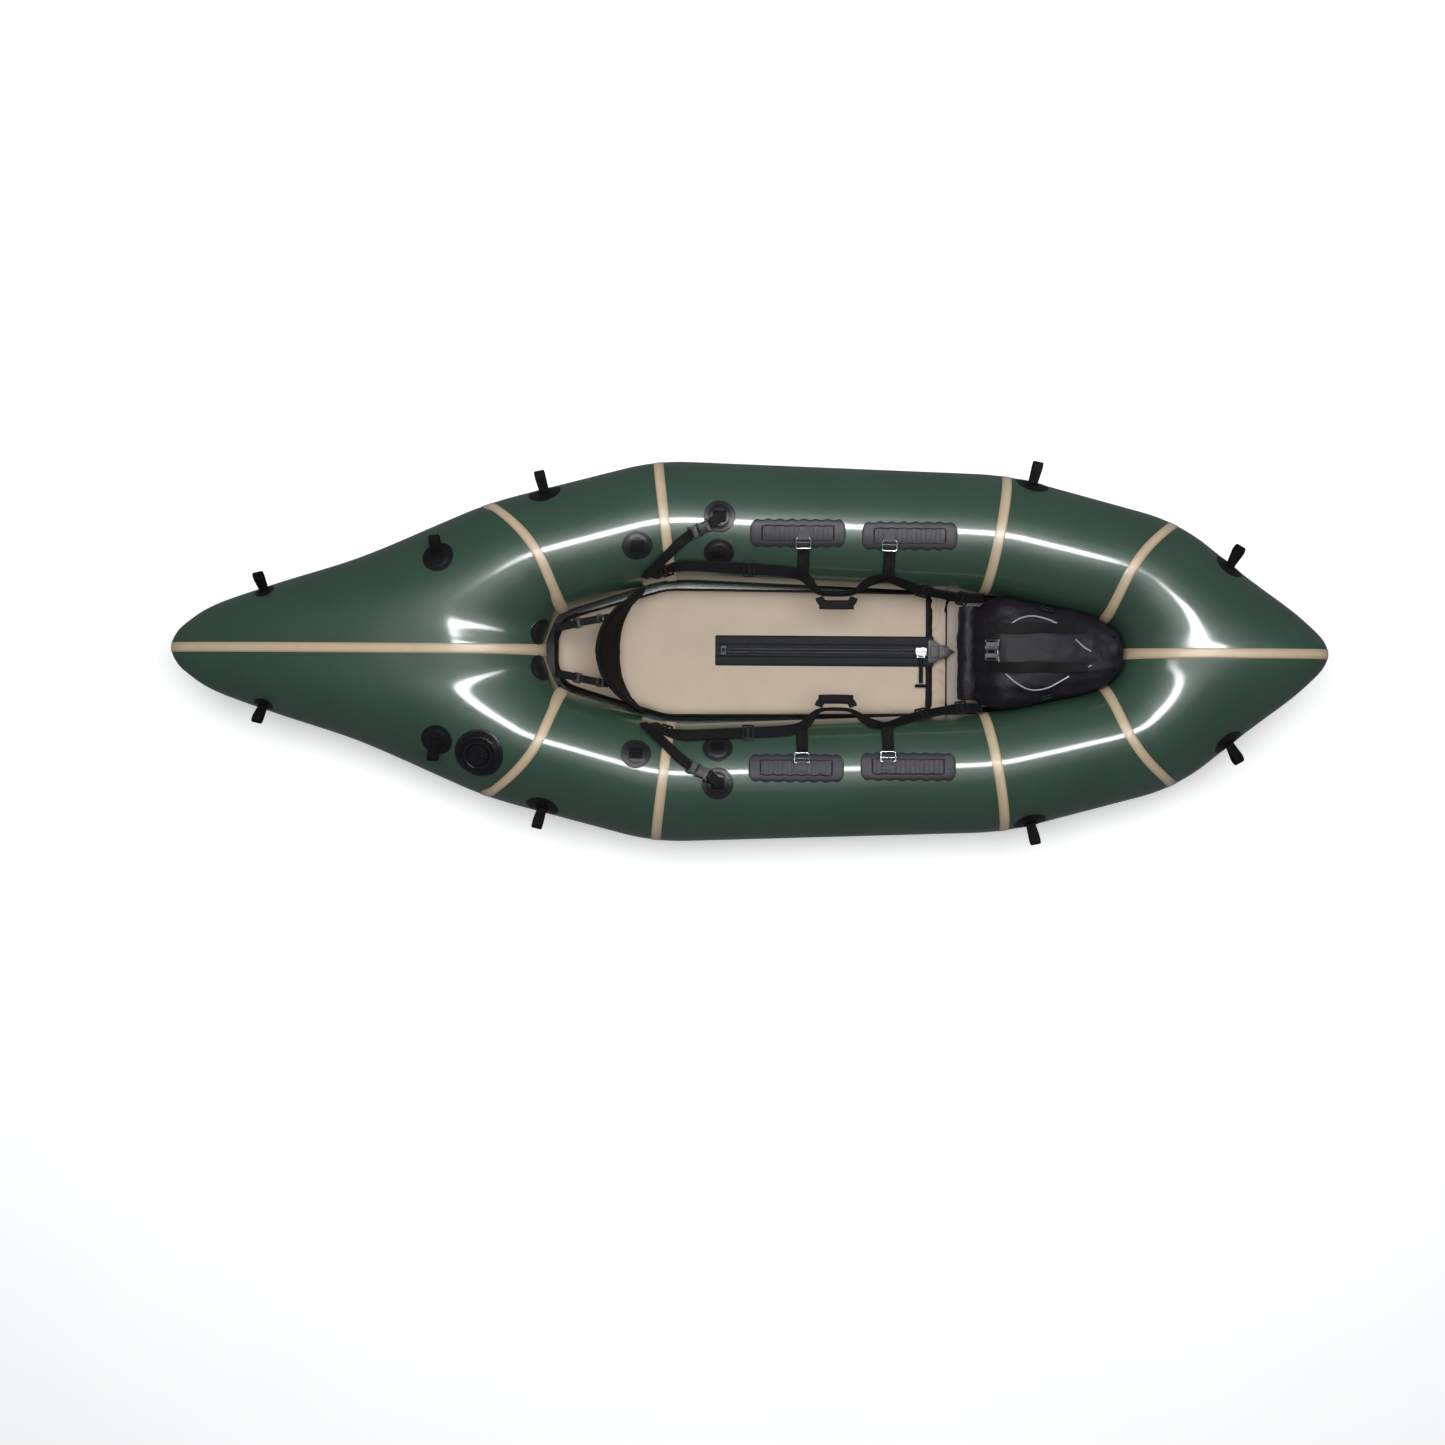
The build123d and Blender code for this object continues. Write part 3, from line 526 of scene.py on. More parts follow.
def plan_point(points, share):
    """Smooth plan curve at share of the way from the seam to the middle of the boat."""
    given = [Vector(p) for p in points]
    given = [given[0] * 2 - given[1], *given, Vector((given[-2].x, -given[-2].y))]
    place = min(max(share, 0.0), 1.0) * (len(points) - 1)
    i = min(int(place), len(points) - 2)
    t = place - i
    a, b, c, d = given[i:i + 4]
    return 0.5 * (2 * b + (c - a) * t + (2 * a - 5 * b + 4 * c - d) * t * t + (3 * b - 3 * c + d - a) * t ** 3)


def half_height(v, blend, crest):
    """0 at both ends; a circle on the side tubes, a drop shape at the tips."""
    tube = 2 * math.sqrt(max(v * (1 - v), 0))
    if v < crest:
        drop = math.sqrt(max(1 - (1 - v / crest) ** 2, 0))
    else:
        drop = math.sqrt(max(1 - ((v - crest) / (1 - crest)) ** 1.7, 0))
    return (1 - blend) * tube + blend * drop


def plan_at(station):
    """Outer and inner plan points, with a corner at each seam."""
    if station < 1:
        return plan_point(STERN_OUTER, 1 - station), plan_point(STERN_INNER, 1 - station)
    if station > 4:
        return plan_point(BOW_OUTER, station - 4), plan_point(BOW_INNER, station - 4)
    ends = [(STERN_OUTER[0], STERN_INNER[0]), HIP, THIGH, (BOW_OUTER[0], BOW_INNER[0])]
    i = min(int(station - 1), 2)
    return [Vector(a).lerp(Vector(b), station - 1 - i) for a, b in zip(ends[i], ends[i + 1])]


def eased_plan(station):
    """The same, the air pressing each corner into a bend."""
    seam = min(max(round(station), 1), 4)
    reach = (SEAM_BEND / PANEL_LENGTHS[seam - 1], SEAM_BEND / PANEL_LENGTHS[seam])
    t = 0.5 + 0.5 * (station - seam) / reach[station > seam]
    if not 0 < t < 1:
        return plan_at(station)
    spots = [plan_at(s) for s in (seam - reach[0], seam, seam + reach[1])]
    return [a * (1 - t) ** 2 + b * 2 * t * (1 - t) + c * t * t for a, b, c in zip(*spots)]


def hull_point(station, angle):
    """Port surface; station runs 0 at the stern to 5 at the bow, angle round the tube."""
    blend, rise, crest = 0.0, 0.0, 0.5
    outer, inner = eased_plan(station)
    if station < 1 or station > 4:
        stern = station < 1
        rings = (STERN_OUTER, STERN_INNER) if stern else (BOW_OUTER, BOW_INNER)
        spans = [math.dist(rings[0][k], rings[1][k]) for k in (0, -1)]
        blend = min(max(((outer - inner).length - spans[0]) / (spans[1] - spans[0]), 0), 1)
        rise = (STERN_RISE if stern else BOW_RISE) * blend ** 1.5
        crest = 0.5 + ((STERN_CREST if stern else BOW_CREST) - 0.5) * blend
    v = (1 - math.cos(angle)) / 2
    side = 1 if angle % (2 * math.pi) <= math.pi else -1
    flat = inner.lerp(outer, v)
    return Vector((flat.x, flat.y, TUBE_Z + rise * v * v + side * TUBE_R * half_height(v, blend, crest)))


def hull_normal(station, angle):
    """Way out of the surface, by small steps along and round it."""
    step = 0.004
    low, high = max(station - step, 0), min(station + step, 5)
    along = hull_point(high, angle) - hull_point(low, angle)
    if angle < 0.02 or abs(angle - math.pi) < 0.02:
        angle += 0.02
    around = hull_point(station, angle + step) - hull_point(station, angle - step)
    out = around.cross(along).normalized()
    return -out if out.dot(hull_point(station, angle) - hull_point(station, angle + math.pi)) < 0 else out


AROUND = 96
STEPS = {"stern_shell": 56, "stern_quarter_tube": 26, "mid_tube": 40, "bow_quarter_tube": 26, "bow_shell": 44}


def make_hull():
    """Ten welded panels, and the port surface that everything on deck lies on."""
    whole = Shape()
    for i, name in enumerate(PANELS):
        panel = Shape()
        steps = STEPS[name]
        panel.grid([[hull_point(i + j / steps, 2 * math.pi * k / AROUND) for k in range(AROUND)]
                    for j in range(steps + 1)], wrap=True)
        pair(name, panel, "hull_fabric", crease=80)
        whole.join(panel)
    return BVHTree.FromPolygons(whole.points, whole.faces)


PORT = make_hull()


def lie(x, y, height=0.0, tree=PORT):
    """Point at a height over the port hull, and the way out there."""
    hit, normal, _, _ = tree.ray_cast(Vector((x, y, 1.0)), -Z)
    normal = normal if normal.z > 0 else -normal
    return hit + normal * height, normal


def drape(place, x, y, height):
    """Point of a flat layout wrapped on to the port hull, looked for from 80 mm above."""
    normal = place.to_3x3() @ Z
    hit, out, _, _ = PORT.ray_cast(place @ Vector((x, y, 0.08)), -normal)
    if hit is None:
        return place @ Vector((x, y, height))
    out = out if out.dot(normal) > 0 else -out
    return hit + out * height


# --------------------------------------------------------------- seam tapes
def tape_strip(shape, centres, angles, offsets):
    """Tape along stations given for each angle, its offsets measured on the surface."""
    rows, metres = [], []
    for station, angle in zip(centres, angles):
        ahead = hull_point(min(station + 0.01, 5), angle) - hull_point(max(station - 0.01, 0), angle)
        pace = ahead.length / (min(station + 0.01, 5) - max(station - 0.01, 0))
        row, row_metres = [], []
        for offset in offsets:
            spot = min(max(station + offset / pace, 0), 5)
            lift = TAPE_RAISED * (0.25 if abs(offset) > TAPE_W * 0.49 else 1)
            row.append(hull_point(spot, angle) + hull_normal(spot, angle) * lift)
            row_metres.append((offset, angle * TUBE_R))
        rows.append(row)
        metres.append(row_metres)
    shape.grid(rows, metres=metres)


def make_tapes():
    """Ring tapes over the four pairs of seams, and one down the middle of each end."""
    low = 0.32 * math.pi
    angles = [-low + (math.pi + 2 * low) * k / 88 for k in range(89)]
    offsets = [TAPE_W * s for s in (-0.5, -0.46, -0.3, -0.1, 0.1, 0.3, 0.46, 0.5)]
    rings = Shape()
    for seam, bow_out in ((1, 0.108), (2, 0.0), (3, 0.0), (4, -0.098)):
        centres = []
        for angle in angles:
            v = (1 - math.cos(angle)) / 2
            centres.append(seam + bow_out * math.sin(math.pi * v) * (1 if math.sin(angle) > 0 else 0))
        tape_strip(rings, centres, angles, offsets)
    rings.join(rings.mirrored()).piece("ring_tapes_piece", "seam_tape", "ring_tapes", crease=60)
    half = [TAPE_W * s for s in (0, 0.15, 0.3, 0.46, 0.5)]
    sweep = [-0.2 * math.pi + 1.32 * math.pi * k / 90 for k in range(91)]
    for name, station, sign in (("stern_centre_tape", 0, 1), ("bow_centre_tape", 5, -1)):
        strip = Shape()
        tape_strip(strip, [station] * 91, sweep, [sign * o for o in half])
        strip.join(strip.mirrored()).piece(f"{name}_piece", "seam_tape", name, crease=60)


make_tapes()


# ------------------------------------------------------------- round patches
def disc(shape, x, y, profile, sides=64):
    """Round layer on the port hull; profile lists (radius, height) from the rim inwards."""
    point, normal = lie(x, y)
    place = seat(point, normal, X)
    rows = []
    for radius, height in profile:
        rows.append([drape(place, radius * math.cos(a), radius * math.sin(a), height)
                     for a in (2 * math.pi * k / sides for k in range(sides))])
    shape.grid(rows, wrap=True)
    shape.faces.append(tuple(range(len(shape.points) - sides, len(shape.points))))
    return place


def patch_profile(radius, high=0.0020):
    """Bevelled disc with a pressed ring and a second, smaller layer."""
    inner = radius * 0.62
    return [(radius, 0.0001), (radius - 0.001, high * 0.5), (radius - 0.0035, high * 0.62),
            (radius - 0.006, high * 0.5), (inner + 0.002, high * 0.55), (inner, high),
            (inner - 0.002, high * 1.15), (inner * 0.5, high * 1.1), (0.002, high * 1.1)]


TIE_DOWNS = {
    "stern_deck": (-0.772, 0.229, 0.040, 40),
    "stern_side": (-0.512, 0.396, 0.042, 0),
    "bow_side": (0.718, 0.427, 0.042, 0),
    "bow_deck": (1.213, 0.222, 0.040, 25),
}
TIP_LOOP = (-1.213, 0.143, 0.025)
LOOP_BASE = 0.0038
STERN_PATCH = (-0.521, 0.046, 0.034)
HIP_PATCHES = [(-0.275, 0.258, 0.038), (-0.071, 0.332, 0.0395), (-0.072, 0.243, 0.038)]


def webbing_foot(shape, place, length=0.034, width=0.029):
    """Stitched square of webbing bonded on a patch."""
    rows, metres = [], []
    for i in range(9):
        u = (i / 8 - 0.5) * length
        row = []
        for k in range(9):
            w = (k / 8 - 0.5) * width
            rim = i in (0, 8) or k in (0, 8)
            row.append(drape(place, u, w, 0.0018 if rim else 0.0042))
        rows.append(row)
        metres.append([((k / 8 - 0.5) * width, u) for k in range(9)])
    shape.grid(rows, metres=metres)


def make_tie_down_patches():
    """Round patches of the loops, each with the loop's stitched foot."""
    discs, feet = Shape(), Shape()
    for x, y, radius, _ in TIE_DOWNS.values():
        webbing_foot(feet, disc(discs, x, y, patch_profile(radius)))
    webbing_foot(feet, disc(discs, *TIP_LOOP[:2], patch_profile(TIP_LOOP[2])), 0.026, 0.026)
    discs.join(discs.mirrored()).piece("tie_down_patches_piece", "patch_fabric", "tie_down_patches")
    feet.join(feet.mirrored()).piece("tie_down_feet", "black_webbing", crease=60)


def teardrop(length, belly):
    """Half loop of webbing on edge: outward points from the foot to the tip."""
    right = [(0.0013, 0.0), (0.0022, length * 0.14), (belly * 0.30, length * 0.42),
             (belly * 0.48, length * 0.70), (belly * 0.38, length * 0.90), (belly * 0.14, length * 0.985)]
    return right + [(-y, z) for y, z in reversed(right)]


def loop_shape(x, y, lean, length=0.056, belly=0.024):
    """Loop of 25 mm webbing standing on its patch, leaning outboard by lean degrees."""
    point, normal = lie(x, y, LOOP_BASE)
    place = seat(point, normal, X) @ Matrix.Rotation(math.radians(-lean), 4, "X")
    path = curve_through([(0, a, b) for a, b in teardrop(length, belly)], 5)
    frames = []
    for i, spot in enumerate(path):
        along = path[min(i + 1, len(path) - 1)] - path[max(i - 1, 0)]
        frames.append((place @ spot, place.to_3x3() @ along.cross(X).normalized() * -1))
    shape = Shape()
    shape.ribbon(frames, 0.025, 0.0018)
    return shape


def make_loops():
    """Eight standing loops that flex, and the two short ones fixed at the stern tip."""
    for name, (x, y, _, lean) in TIE_DOWNS.items():
        shape = loop_shape(x, y, lean)
        for side, form in (("port", shape), ("starboard", shape.mirrored())):
            node = f"loop_{name}_{side}"
            form.piece(f"{node}_piece", "black_webbing", node, body=node)
    tips = loop_shape(*TIP_LOOP[:2], 0, 0.051, 0.020)
    tips.join(tips.mirrored()).piece("stern_tip_loops_piece", "black_webbing", "stern_tip_loops")


def make_harness_patches():
    """Hip and backband anchors: black discs, the three hip ones each with a stitched tab."""
    discs, feet = Shape(), Shape()
    for x, y, radius in HIP_PATCHES:
        webbing_foot(feet, disc(discs, x, y, patch_profile(radius)), 0.036, 0.030)
    disc(discs, *STERN_PATCH[:2], patch_profile(STERN_PATCH[2]))
    discs.join(discs.mirrored()).piece("harness_patches_piece", "harness_patch_fabric", "harness_patches")
    feet.join(feet.mirrored()).piece("harness_feet", "black_webbing", crease=60)


make_tie_down_patches()
make_loops()
make_harness_patches()


# ----------------------------------------------------------- thigh brace pads
PAD_LENGTH, PAD_WIDTH, PAD_BUMPS = 0.237, 0.072, 8
PADS = [(0.124, 0.292), (0.402, 0.287)]
HOOKS = {"aft": (0.138, 0.281), "fore": (0.352, 0.276)}
RING_PIVOT = 0.0102      # ring bar over the hull
RING_REACH = 0.024


def pad_height(x, q):
    """Moulded relief: soft rim, a grooved inner panel and ribs across it."""
    rim = (1 - abs(q) ** 7) * (1 - abs(x / (PAD_LENGTH / 2)) ** 26)
    lobes = 0.5 + 0.5 * math.cos(2 * math.pi * PAD_BUMPS * x / PAD_LENGTH)
    height = 0.0034 * max(rim, 0) ** 0.5 + 0.0008 * lobes * abs(q) ** 2
    off_x, off_y = abs(x) - 0.089, abs(q) * PAD_WIDTH / 2 - 0.019
    edge = max(off_x, off_y)
    if abs(edge) < 0.0016:
        height -= 0.0012
    if edge < 0:
        height += 0.0013 + 0.0006 * (math.sin(2 * math.pi * x / 0.0118) > 0.55)
    return height + 0.0002


def make_thigh_pads():
    """Two moulded pads a side, scalloped along their edges, that carry the ladder rings."""
    pads = Shape()
    for cx, cy in PADS:
        rows = []
        for i in range(181):
            x = (i / 180 - 0.5) * PAD_LENGTH
            lobe = 0.5 + 0.5 * math.cos(2 * math.pi * PAD_BUMPS * (x / PAD_LENGTH + 0.5 / PAD_BUMPS))
            ends = max(1 - abs(2 * x / PAD_LENGTH) ** 14, 0.0) ** 0.5
            half = (PAD_WIDTH / 2 - 0.0042 * (1 - lobe)) * (0.35 + 0.65 * ends)
            row = []
            for k in range(41):
                q = k / 20 - 1
                q = math.copysign(abs(q) ** 0.8, q)
                row.append(lie(cx + x, cy + q * half, pad_height(x, q))[0])
            rows.append(row)
        pads.grid(rows)
    pads.join(pads.mirrored()).piece("thigh_pads_piece", "pad_rubber", "thigh_pads", crease=28)


def make_ring_tabs():
    """Grey webbing folded over each ring's upper bar and stitched to the pad."""
    tabs = Shape()
    for x, y in HOOKS.values():
        point, normal = lie(x, y)
        place = seat(point, normal, X)
        path = [(0.020, 0.0054), (0.013, 0.0060), (0.006, 0.0088), (0.0012, 0.0131), (-0.0024, 0.0122),
                (-0.0034, 0.0094), (-0.0014, 0.0070), (0.003, 0.0062)]
        path = curve_through([place @ Vector((0, a, b)) for a, b in path], 4)
        frames = []
        for i, spot in enumerate(path):
            along = path[min(i + 1, len(path) - 1)] - path[max(i - 1, 0)]
            frames.append((spot, (place.to_3x3() @ X).cross(along).normalized() * -1))
        tabs.ribbon(frames, 0.0285, 0.0014)
    tabs.join(tabs.mirrored()).piece("ring_tabs_piece", "tab_fabric", "ring_tabs")


def make_rings():
    """Ladder ring of flattened steel rod with a bar across its upper third."""
    for name, (x, y) in HOOKS.items():
        point, normal = lie(x, y)
        place = seat(point, normal, X) @ Matrix.Translation((0, 0, RING_PIVOT))
        ring = Shape()
        frame_line = [place @ Vector((a, b - RING_REACH / 2, 0))
                      for a, b in rounded(0.0365, RING_REACH + 0.002, 0.005, 4)]
        up = place.to_3x3() @ Z
        ring.tube(frame_line, 0.0021, loop=True, sides=12, up=up)
        ring.tube([place @ Vector((a, -0.0095, 0)) for a in (-0.0180, -0.006, 0.006, 0.0180)], 0.0018,
                  sides=10, up=up)
        for side, form in (("port", ring), ("starboard", ring.mirrored())):
            node = f"{name}_ring_{side}"
            form.piece(f"{node}_piece", "ring_steel", node, body=node)


make_thigh_pads()
make_ring_tabs()
make_rings()


# ----------------------------------------------------------------- webbing
STRAP_W, STRAP_T = 0.030, 0.0020


def hang(x, y, z, lean=0.6):
    """Webbing held in the air, facing up and inboard by lean."""
    return Vector((x, y, z)), Vector((0, -lean, math.sqrt(1 - lean * lean)))


def smooth_frames(frames, steps=5):
    """Smooth run through (place, way up) pairs."""
    spots = curve_through([centre for centre, _ in frames], steps)
    ups = curve_through([up for _, up in frames], steps)
    return [(spot, up.normalized()) for spot, up in zip(spots, ups)]


def eased(widths, steps=5):
    """One width for every smoothed frame."""
    full = []
    for a, b in zip(widths, widths[1:]):
        full += [a + (b - a) * k / steps for k in range(steps)]
    return full + [widths[-1]]


def tight(x, y):
    """Webbing pulled flat over the hollow beside a tube, its outer edge on the tube."""
    lean = 0.42
    edge, _ = lie(x, y + 0.012, 0.003)
    up = Vector((0, -lean, math.sqrt(1 - lean * lean)))
    return edge - Vector((0, up.z, lean)) * 0.0125, up


def thigh_path():
    """From the hip along the tube, down into the cockpit as the handle's base, and up to the bow."""
    aft = [lie(-0.236, 0.186, 0.003), lie(-0.204, 0.206, 0.003)]
    aft += [tight(x, y) for x, y in ((-0.160, 0.214), (-0.110, 0.213), (-0.050, 0.210), (0.004, 0.207),
                                     (0.060, 0.204), (0.105, 0.200))]
    dip = [hang(0.142, 0.188, 0.232), hang(0.162, 0.168, 0.222), hang(0.178, 0.152, 0.212),
           hang(0.196, 0.146, 0.208), hang(0.232, 0.145, 0.207), hang(0.258, 0.147, 0.208),
           hang(0.276, 0.155, 0.213), hang(0.294, 0.169, 0.222), hang(0.320, 0.182, 0.231)]
    fore = [lie(0.354, 0.188, 0.004), hang(0.400, 0.171, 0.215, 0.7), hang(0.443, 0.158, 0.206, 0.7),
            hang(0.500, 0.147, 0.197, 0.7), hang(0.545, 0.140, 0.190), hang(0.598, 0.139, 0.190)]
    return aft + dip + fore


def three_bar(shape, frame_at, along, length=0.030, width=0.041, lift=0.0022):
    """Moulded slide with two slots; webbing shows through as it climbs over the middle bar."""
    point, normal = frame_at
    place = seat(point + normal * (STRAP_T + lift), normal, along)
    slot = rounded(0.0055, width - 0.010, 0.002, 2)
    shape.plate(rounded(length, width, 0.004), 0.0034, place, [shifted(slot, 0.0072), shifted(slot, -0.0072)])
    return place


def doubled(shape, frames, first, last, width):
    """Second layer of webbing between two frames, from where it is sewn to a slide."""
    part = frames[first:last + 1]
    shape.ribbon([(centre + up * (STRAP_T + 0.00048), up) for centre, up in part], width, STRAP_T)


def make_thigh_straps():
    """From the backband's end along the tube, down to the handle and up to the bow."""
    path = thigh_path()
    widths = [STRAP_W] * 9 + [0.024, 0.016, 0.012, 0.012, 0.012, 0.016, 0.024] + [STRAP_W] * 7
    frames = smooth_frames(path)
    strap = Shape()
    strap.ribbon(frames, eased(widths), STRAP_T)
    doubled(strap, frames, 6, 22, STRAP_W * 0.96)
    doubled(strap, frames, 92, 104, STRAP_W * 0.9)
    links = [smooth_frames([lie(0.139, y, h) for y, h in ((0.203, 0.0062), (0.215, 0.0046), (0.228, 0.0036),
                                                        (0.242, 0.0036), (0.2535, 0.0072), (0.2575, 0.0102))]),
             smooth_frames([lie(0.353, y, h) for y, h in ((0.194, 0.0072), (0.207, 0.0048), (0.219, 0.0036),
                                                        (0.234, 0.0036), (0.2485, 0.0072), (0.2525, 0.0102))])]
    for line in links:
        strap.ribbon(line, 0.0285, STRAP_T)
        strap.ribbon([(centre + up * 0.0026, up) for centre, up in line[4:-3]], 0.0270, STRAP_T)
    pair("thigh_strap", strap, "black_webbing")


def make_grab_handles():
    """Webbing handle with a padded grip; the two stitched tabs that join it to the strap are not drawn."""
    grip = Shape()
    line = [(0.182, 0.1385, 0.2015), (0.186, 0.129, 0.1995), (0.196, 0.1215, 0.1985), (0.226, 0.1195, 0.1980),
            (0.256, 0.1215, 0.1985), (0.266, 0.129, 0.1995), (0.270, 0.1385, 0.2015)]
    frames = smooth_frames([(Vector(p), Vector((0, -0.25, 0.97))) for p in line], 6)
    grip.ribbon(frames, 0.021, 0.0024)
    pad = []
    for i in range(21):
        x = 0.226 + (i / 20 - 0.5) * 0.088
        fat = (1 - abs(i / 10 - 1) ** 6) ** 0.5
        bow = 0.1190 + 0.0008 * (i / 10 - 1) ** 2
        pad.append([Vector((x, bow + 0.0118 * math.cos(a), 0.1990 + (0.0010 + 0.0042 * fat) * math.sin(a)))
                    for a in (2 * math.pi * k / 20 for k in range(20))])
    grip.grid(pad, wrap=True, caps=True)
    for side, form in (("port", grip), ("starboard", grip.mirrored())):
        node = f"grab_handle_{side}"
        made = form.piece(f"{node}_piece", "black_webbing", node, body=node)


HIP_LINE = [(-0.066, 0.333, 0.0052), (-0.087, 0.318, 0.0050), (-0.117, 0.302, 0.0032), (-0.150, 0.282, 0.0032),
            (-0.176, 0.262, 0.0056), (-0.205, 0.238, 0.0080), (-0.235, 0.212, 0.0080), (-0.262, 0.188, 0.0070)]


def side_release(shape, place, length, width, thick):
    """Side-release buckle: hooded socket with cut-away flanks, and the plug's springy arms."""
    hood = [(-0.50, -0.42), (-0.46, -0.5), (-0.30, -0.5), (-0.24, -0.40), (-0.02, -0.40), (0.06, -0.5),
            (0.10, -0.5), (0.12, -0.44), (0.12, 0.44), (0.10, 0.5), (0.06, 0.5), (-0.02, 0.40),
            (-0.24, 0.40), (-0.30, 0.5), (-0.46, 0.5), (-0.50, 0.42)]
    web_slot = rounded(0.005, width * 0.72, 0.002, 2)
    shape.plate([(x * length, y * width) for x, y in hood], thick, place, [shifted(web_slot, -0.43 * length)],
                0.0012)
    raised_panel = [(x * length * 0.8, y * width * 0.72) for x, y in hood[2:14]]
    shape.plate(raised_panel, thick * 0.25, place @ Matrix.Translation((-0.01 * length, 0, thick * 0.56)), (),
                0.0006)
    plug = [(0.13, -0.40), (0.30, -0.44), (0.36, -0.5), (0.47, -0.5), (0.5, -0.44), (0.5, 0.44), (0.47, 0.5),
            (0.36, 0.5), (0.30, 0.44), (0.13, 0.40)]
    shape.plate([(x * length, y * width) for x, y in plug], thick * 0.78, place,
                [shifted(web_slot, 0.43 * length)], 0.001)
    for side in (-1, 1):
        arm = [(-0.20, 0.39), (0.06, 0.40), (0.14, 0.34), (0.14, 0.29), (0.0, 0.32), (-0.20, 0.33)]
        shape.plate([(x * length, side * y * width) for x, y in arm][::side], thick * 0.6, place, (), 0.0006)


def make_hip_straps():
    """Strap from the hip patch to the thigh strap's end, with a buckle and doubled stretches."""
    frames = smooth_frames([lie(*spot) for spot in HIP_LINE])
    strap = Shape()
    strap.ribbon(frames, 0.026, STRAP_T)
    strap.ribbon([(centre + up * 0.0026, up) for centre, up in frames[2:9]], 0.025, STRAP_T)
    strap.ribbon([(centre + up * 0.0026, up) for centre, up in frames[17:31]], 0.025, STRAP_T)
    pair("hip_strap", strap, "black_webbing")
    buckle = Shape()
    point, normal = lie(-0.117, 0.302, 0.0108)
    side_release(buckle, seat(point, normal, Vector((-0.059, -0.030, 0))), 0.062, 0.034, 0.0095)
    buckle.join(buckle.mirrored()).piece("hip_buckles_piece", "black_plastic", "hip_buckles")


def stern_strap_frames():
    """From the patch inside the stern forward to the middle of the backband."""
    spots = [(-0.486, 0.057, 0.170), (-0.455, 0.063, 0.178), (-0.420, 0.071, 0.184), (-0.385, 0.078, 0.187),
             (-0.349, 0.084, 0.188)]
    return smooth_frames([(Vector(p), Vector((-0.1, 0, 1))) for p in spots])


def make_stern_straps():
    """Straps that hold the backband up, each with its doubled end and a loose tail."""
    frames = stern_strap_frames()
    strap = Shape()
    strap.ribbon(frames, 0.020, STRAP_T)
    strap.ribbon([(centre + up * 0.0024, up) for centre, up in frames[1:9]], 0.019, STRAP_T)
    tail = [frames[9][0] + Vector((0.002 * k, 0.009 - 0.0002 * k * k, 0.003 - 0.0006 * k)) for k in range(9)]
    strap.ribbon([(spot, Z) for spot in tail], 0.012, 0.0016)
    pair("stern_strap", strap, "black_webbing")


def make_adjusters(bag):
    """Slides on the thigh and stern straps, and the bar that ends the bag's lashing."""
    path = thigh_path()
    stern = stern_strap_frames()
    slides = Shape()
    three_bar(slides, path[5], X)
    three_bar(slides, path[1], Vector((0.8, 0.5, 0)), lift=0.0046)
    three_bar(slides, path[19], Vector((0.043, -0.012, -0.009)))
    three_bar(slides, path[21], Vector((0.045, -0.008, -0.007)))
    three_bar(slides, stern[9], Vector((0.035, 0.008, 0.005)), 0.022, 0.027)
    three_bar(slides, stern[17], Vector((0.035, 0.008, 0.002)), 0.016, 0.025, 0.0012)
    point, normal = lie(0.752, 0.108, 0.0045, bag)
    place = seat(point, normal, Vector((1, -0.3, 0)))
    slides.plate(rounded(0.034, 0.013, 0.004), 0.005, place, [rounded(0.020, 0.004, 0.0015, 2)], 0.0012)
    slides.join(slides.mirrored()).piece("webbing_adjusters_piece", "black_plastic", "webbing_adjusters")


make_thigh_straps()
make_grab_handles()
make_hip_straps()
make_stern_straps()


# ---------------------------------------------------------------- soft goods
def inflate(made, voxel, cap, pressure):
    """Fill a closed form with air: an even mesh, cloth under pressure, no point moving past cap."""
    remesh = made.modifiers.new("even", "REMESH")
    remesh.mode = "VOXEL"
    remesh.voxel_size = voxel
    apply_modifiers(made)
    still = [v.co.copy() for v in made.data.vertices]
    cloth = made.modifiers.new("air", "CLOTH")
    cloth.settings.quality = 5
    cloth.settings.use_pressure = True
    cloth.settings.uniform_pressure_force = pressure
    cloth.settings.effector_weights.gravity = 0
    cloth.point_cache.frame_start, cloth.point_cache.frame_end = 1, 20
    for tick in range(1, 21):
        scene.frame_set(tick)
    apply_modifiers(made)
    scene.frame_set(1)
    for vertex, home in zip(made.data.vertices, still):
        move = vertex.co - home
        if move.length > cap:
            vertex.co = home + move.normalized() * cap
    relax = bmesh.new()
    relax.from_mesh(made.data)
    for _ in range(2):
        bmesh.ops.smooth_vert(relax, verts=relax.verts, factor=0.5, use_axis_x=True, use_axis_y=True,
                              use_axis_z=True)
    relax.to_mesh(made.data)
    relax.free()
    finer = made.modifiers.new("finer", "SUBSURF")
    finer.levels = finer.render_levels = 1
    apply_modifiers(made)
    made.data.shade_smooth()


def apply_modifiers(made):
    """Bake the modifiers into the mesh and take them off."""
    bpy.context.view_layer.update()
    done = bpy.data.meshes.new_from_object(made.evaluated_get(bpy.context.evaluated_depsgraph_get()))
    old, made.data = made.data, done
    made.modifiers.clear()
    bpy.data.meshes.remove(old)


def tree_of(made):
    """Ray tree of a piece's own mesh."""
    shape = bmesh.new()
    shape.from_mesh(made.data)
    tree = BVHTree.FromBMesh(shape)
    shape.free()
    return tree


def both_sides(half):
    """Closed outline from its port half."""
    return half + [(x, -y) for x, y in reversed(half)]


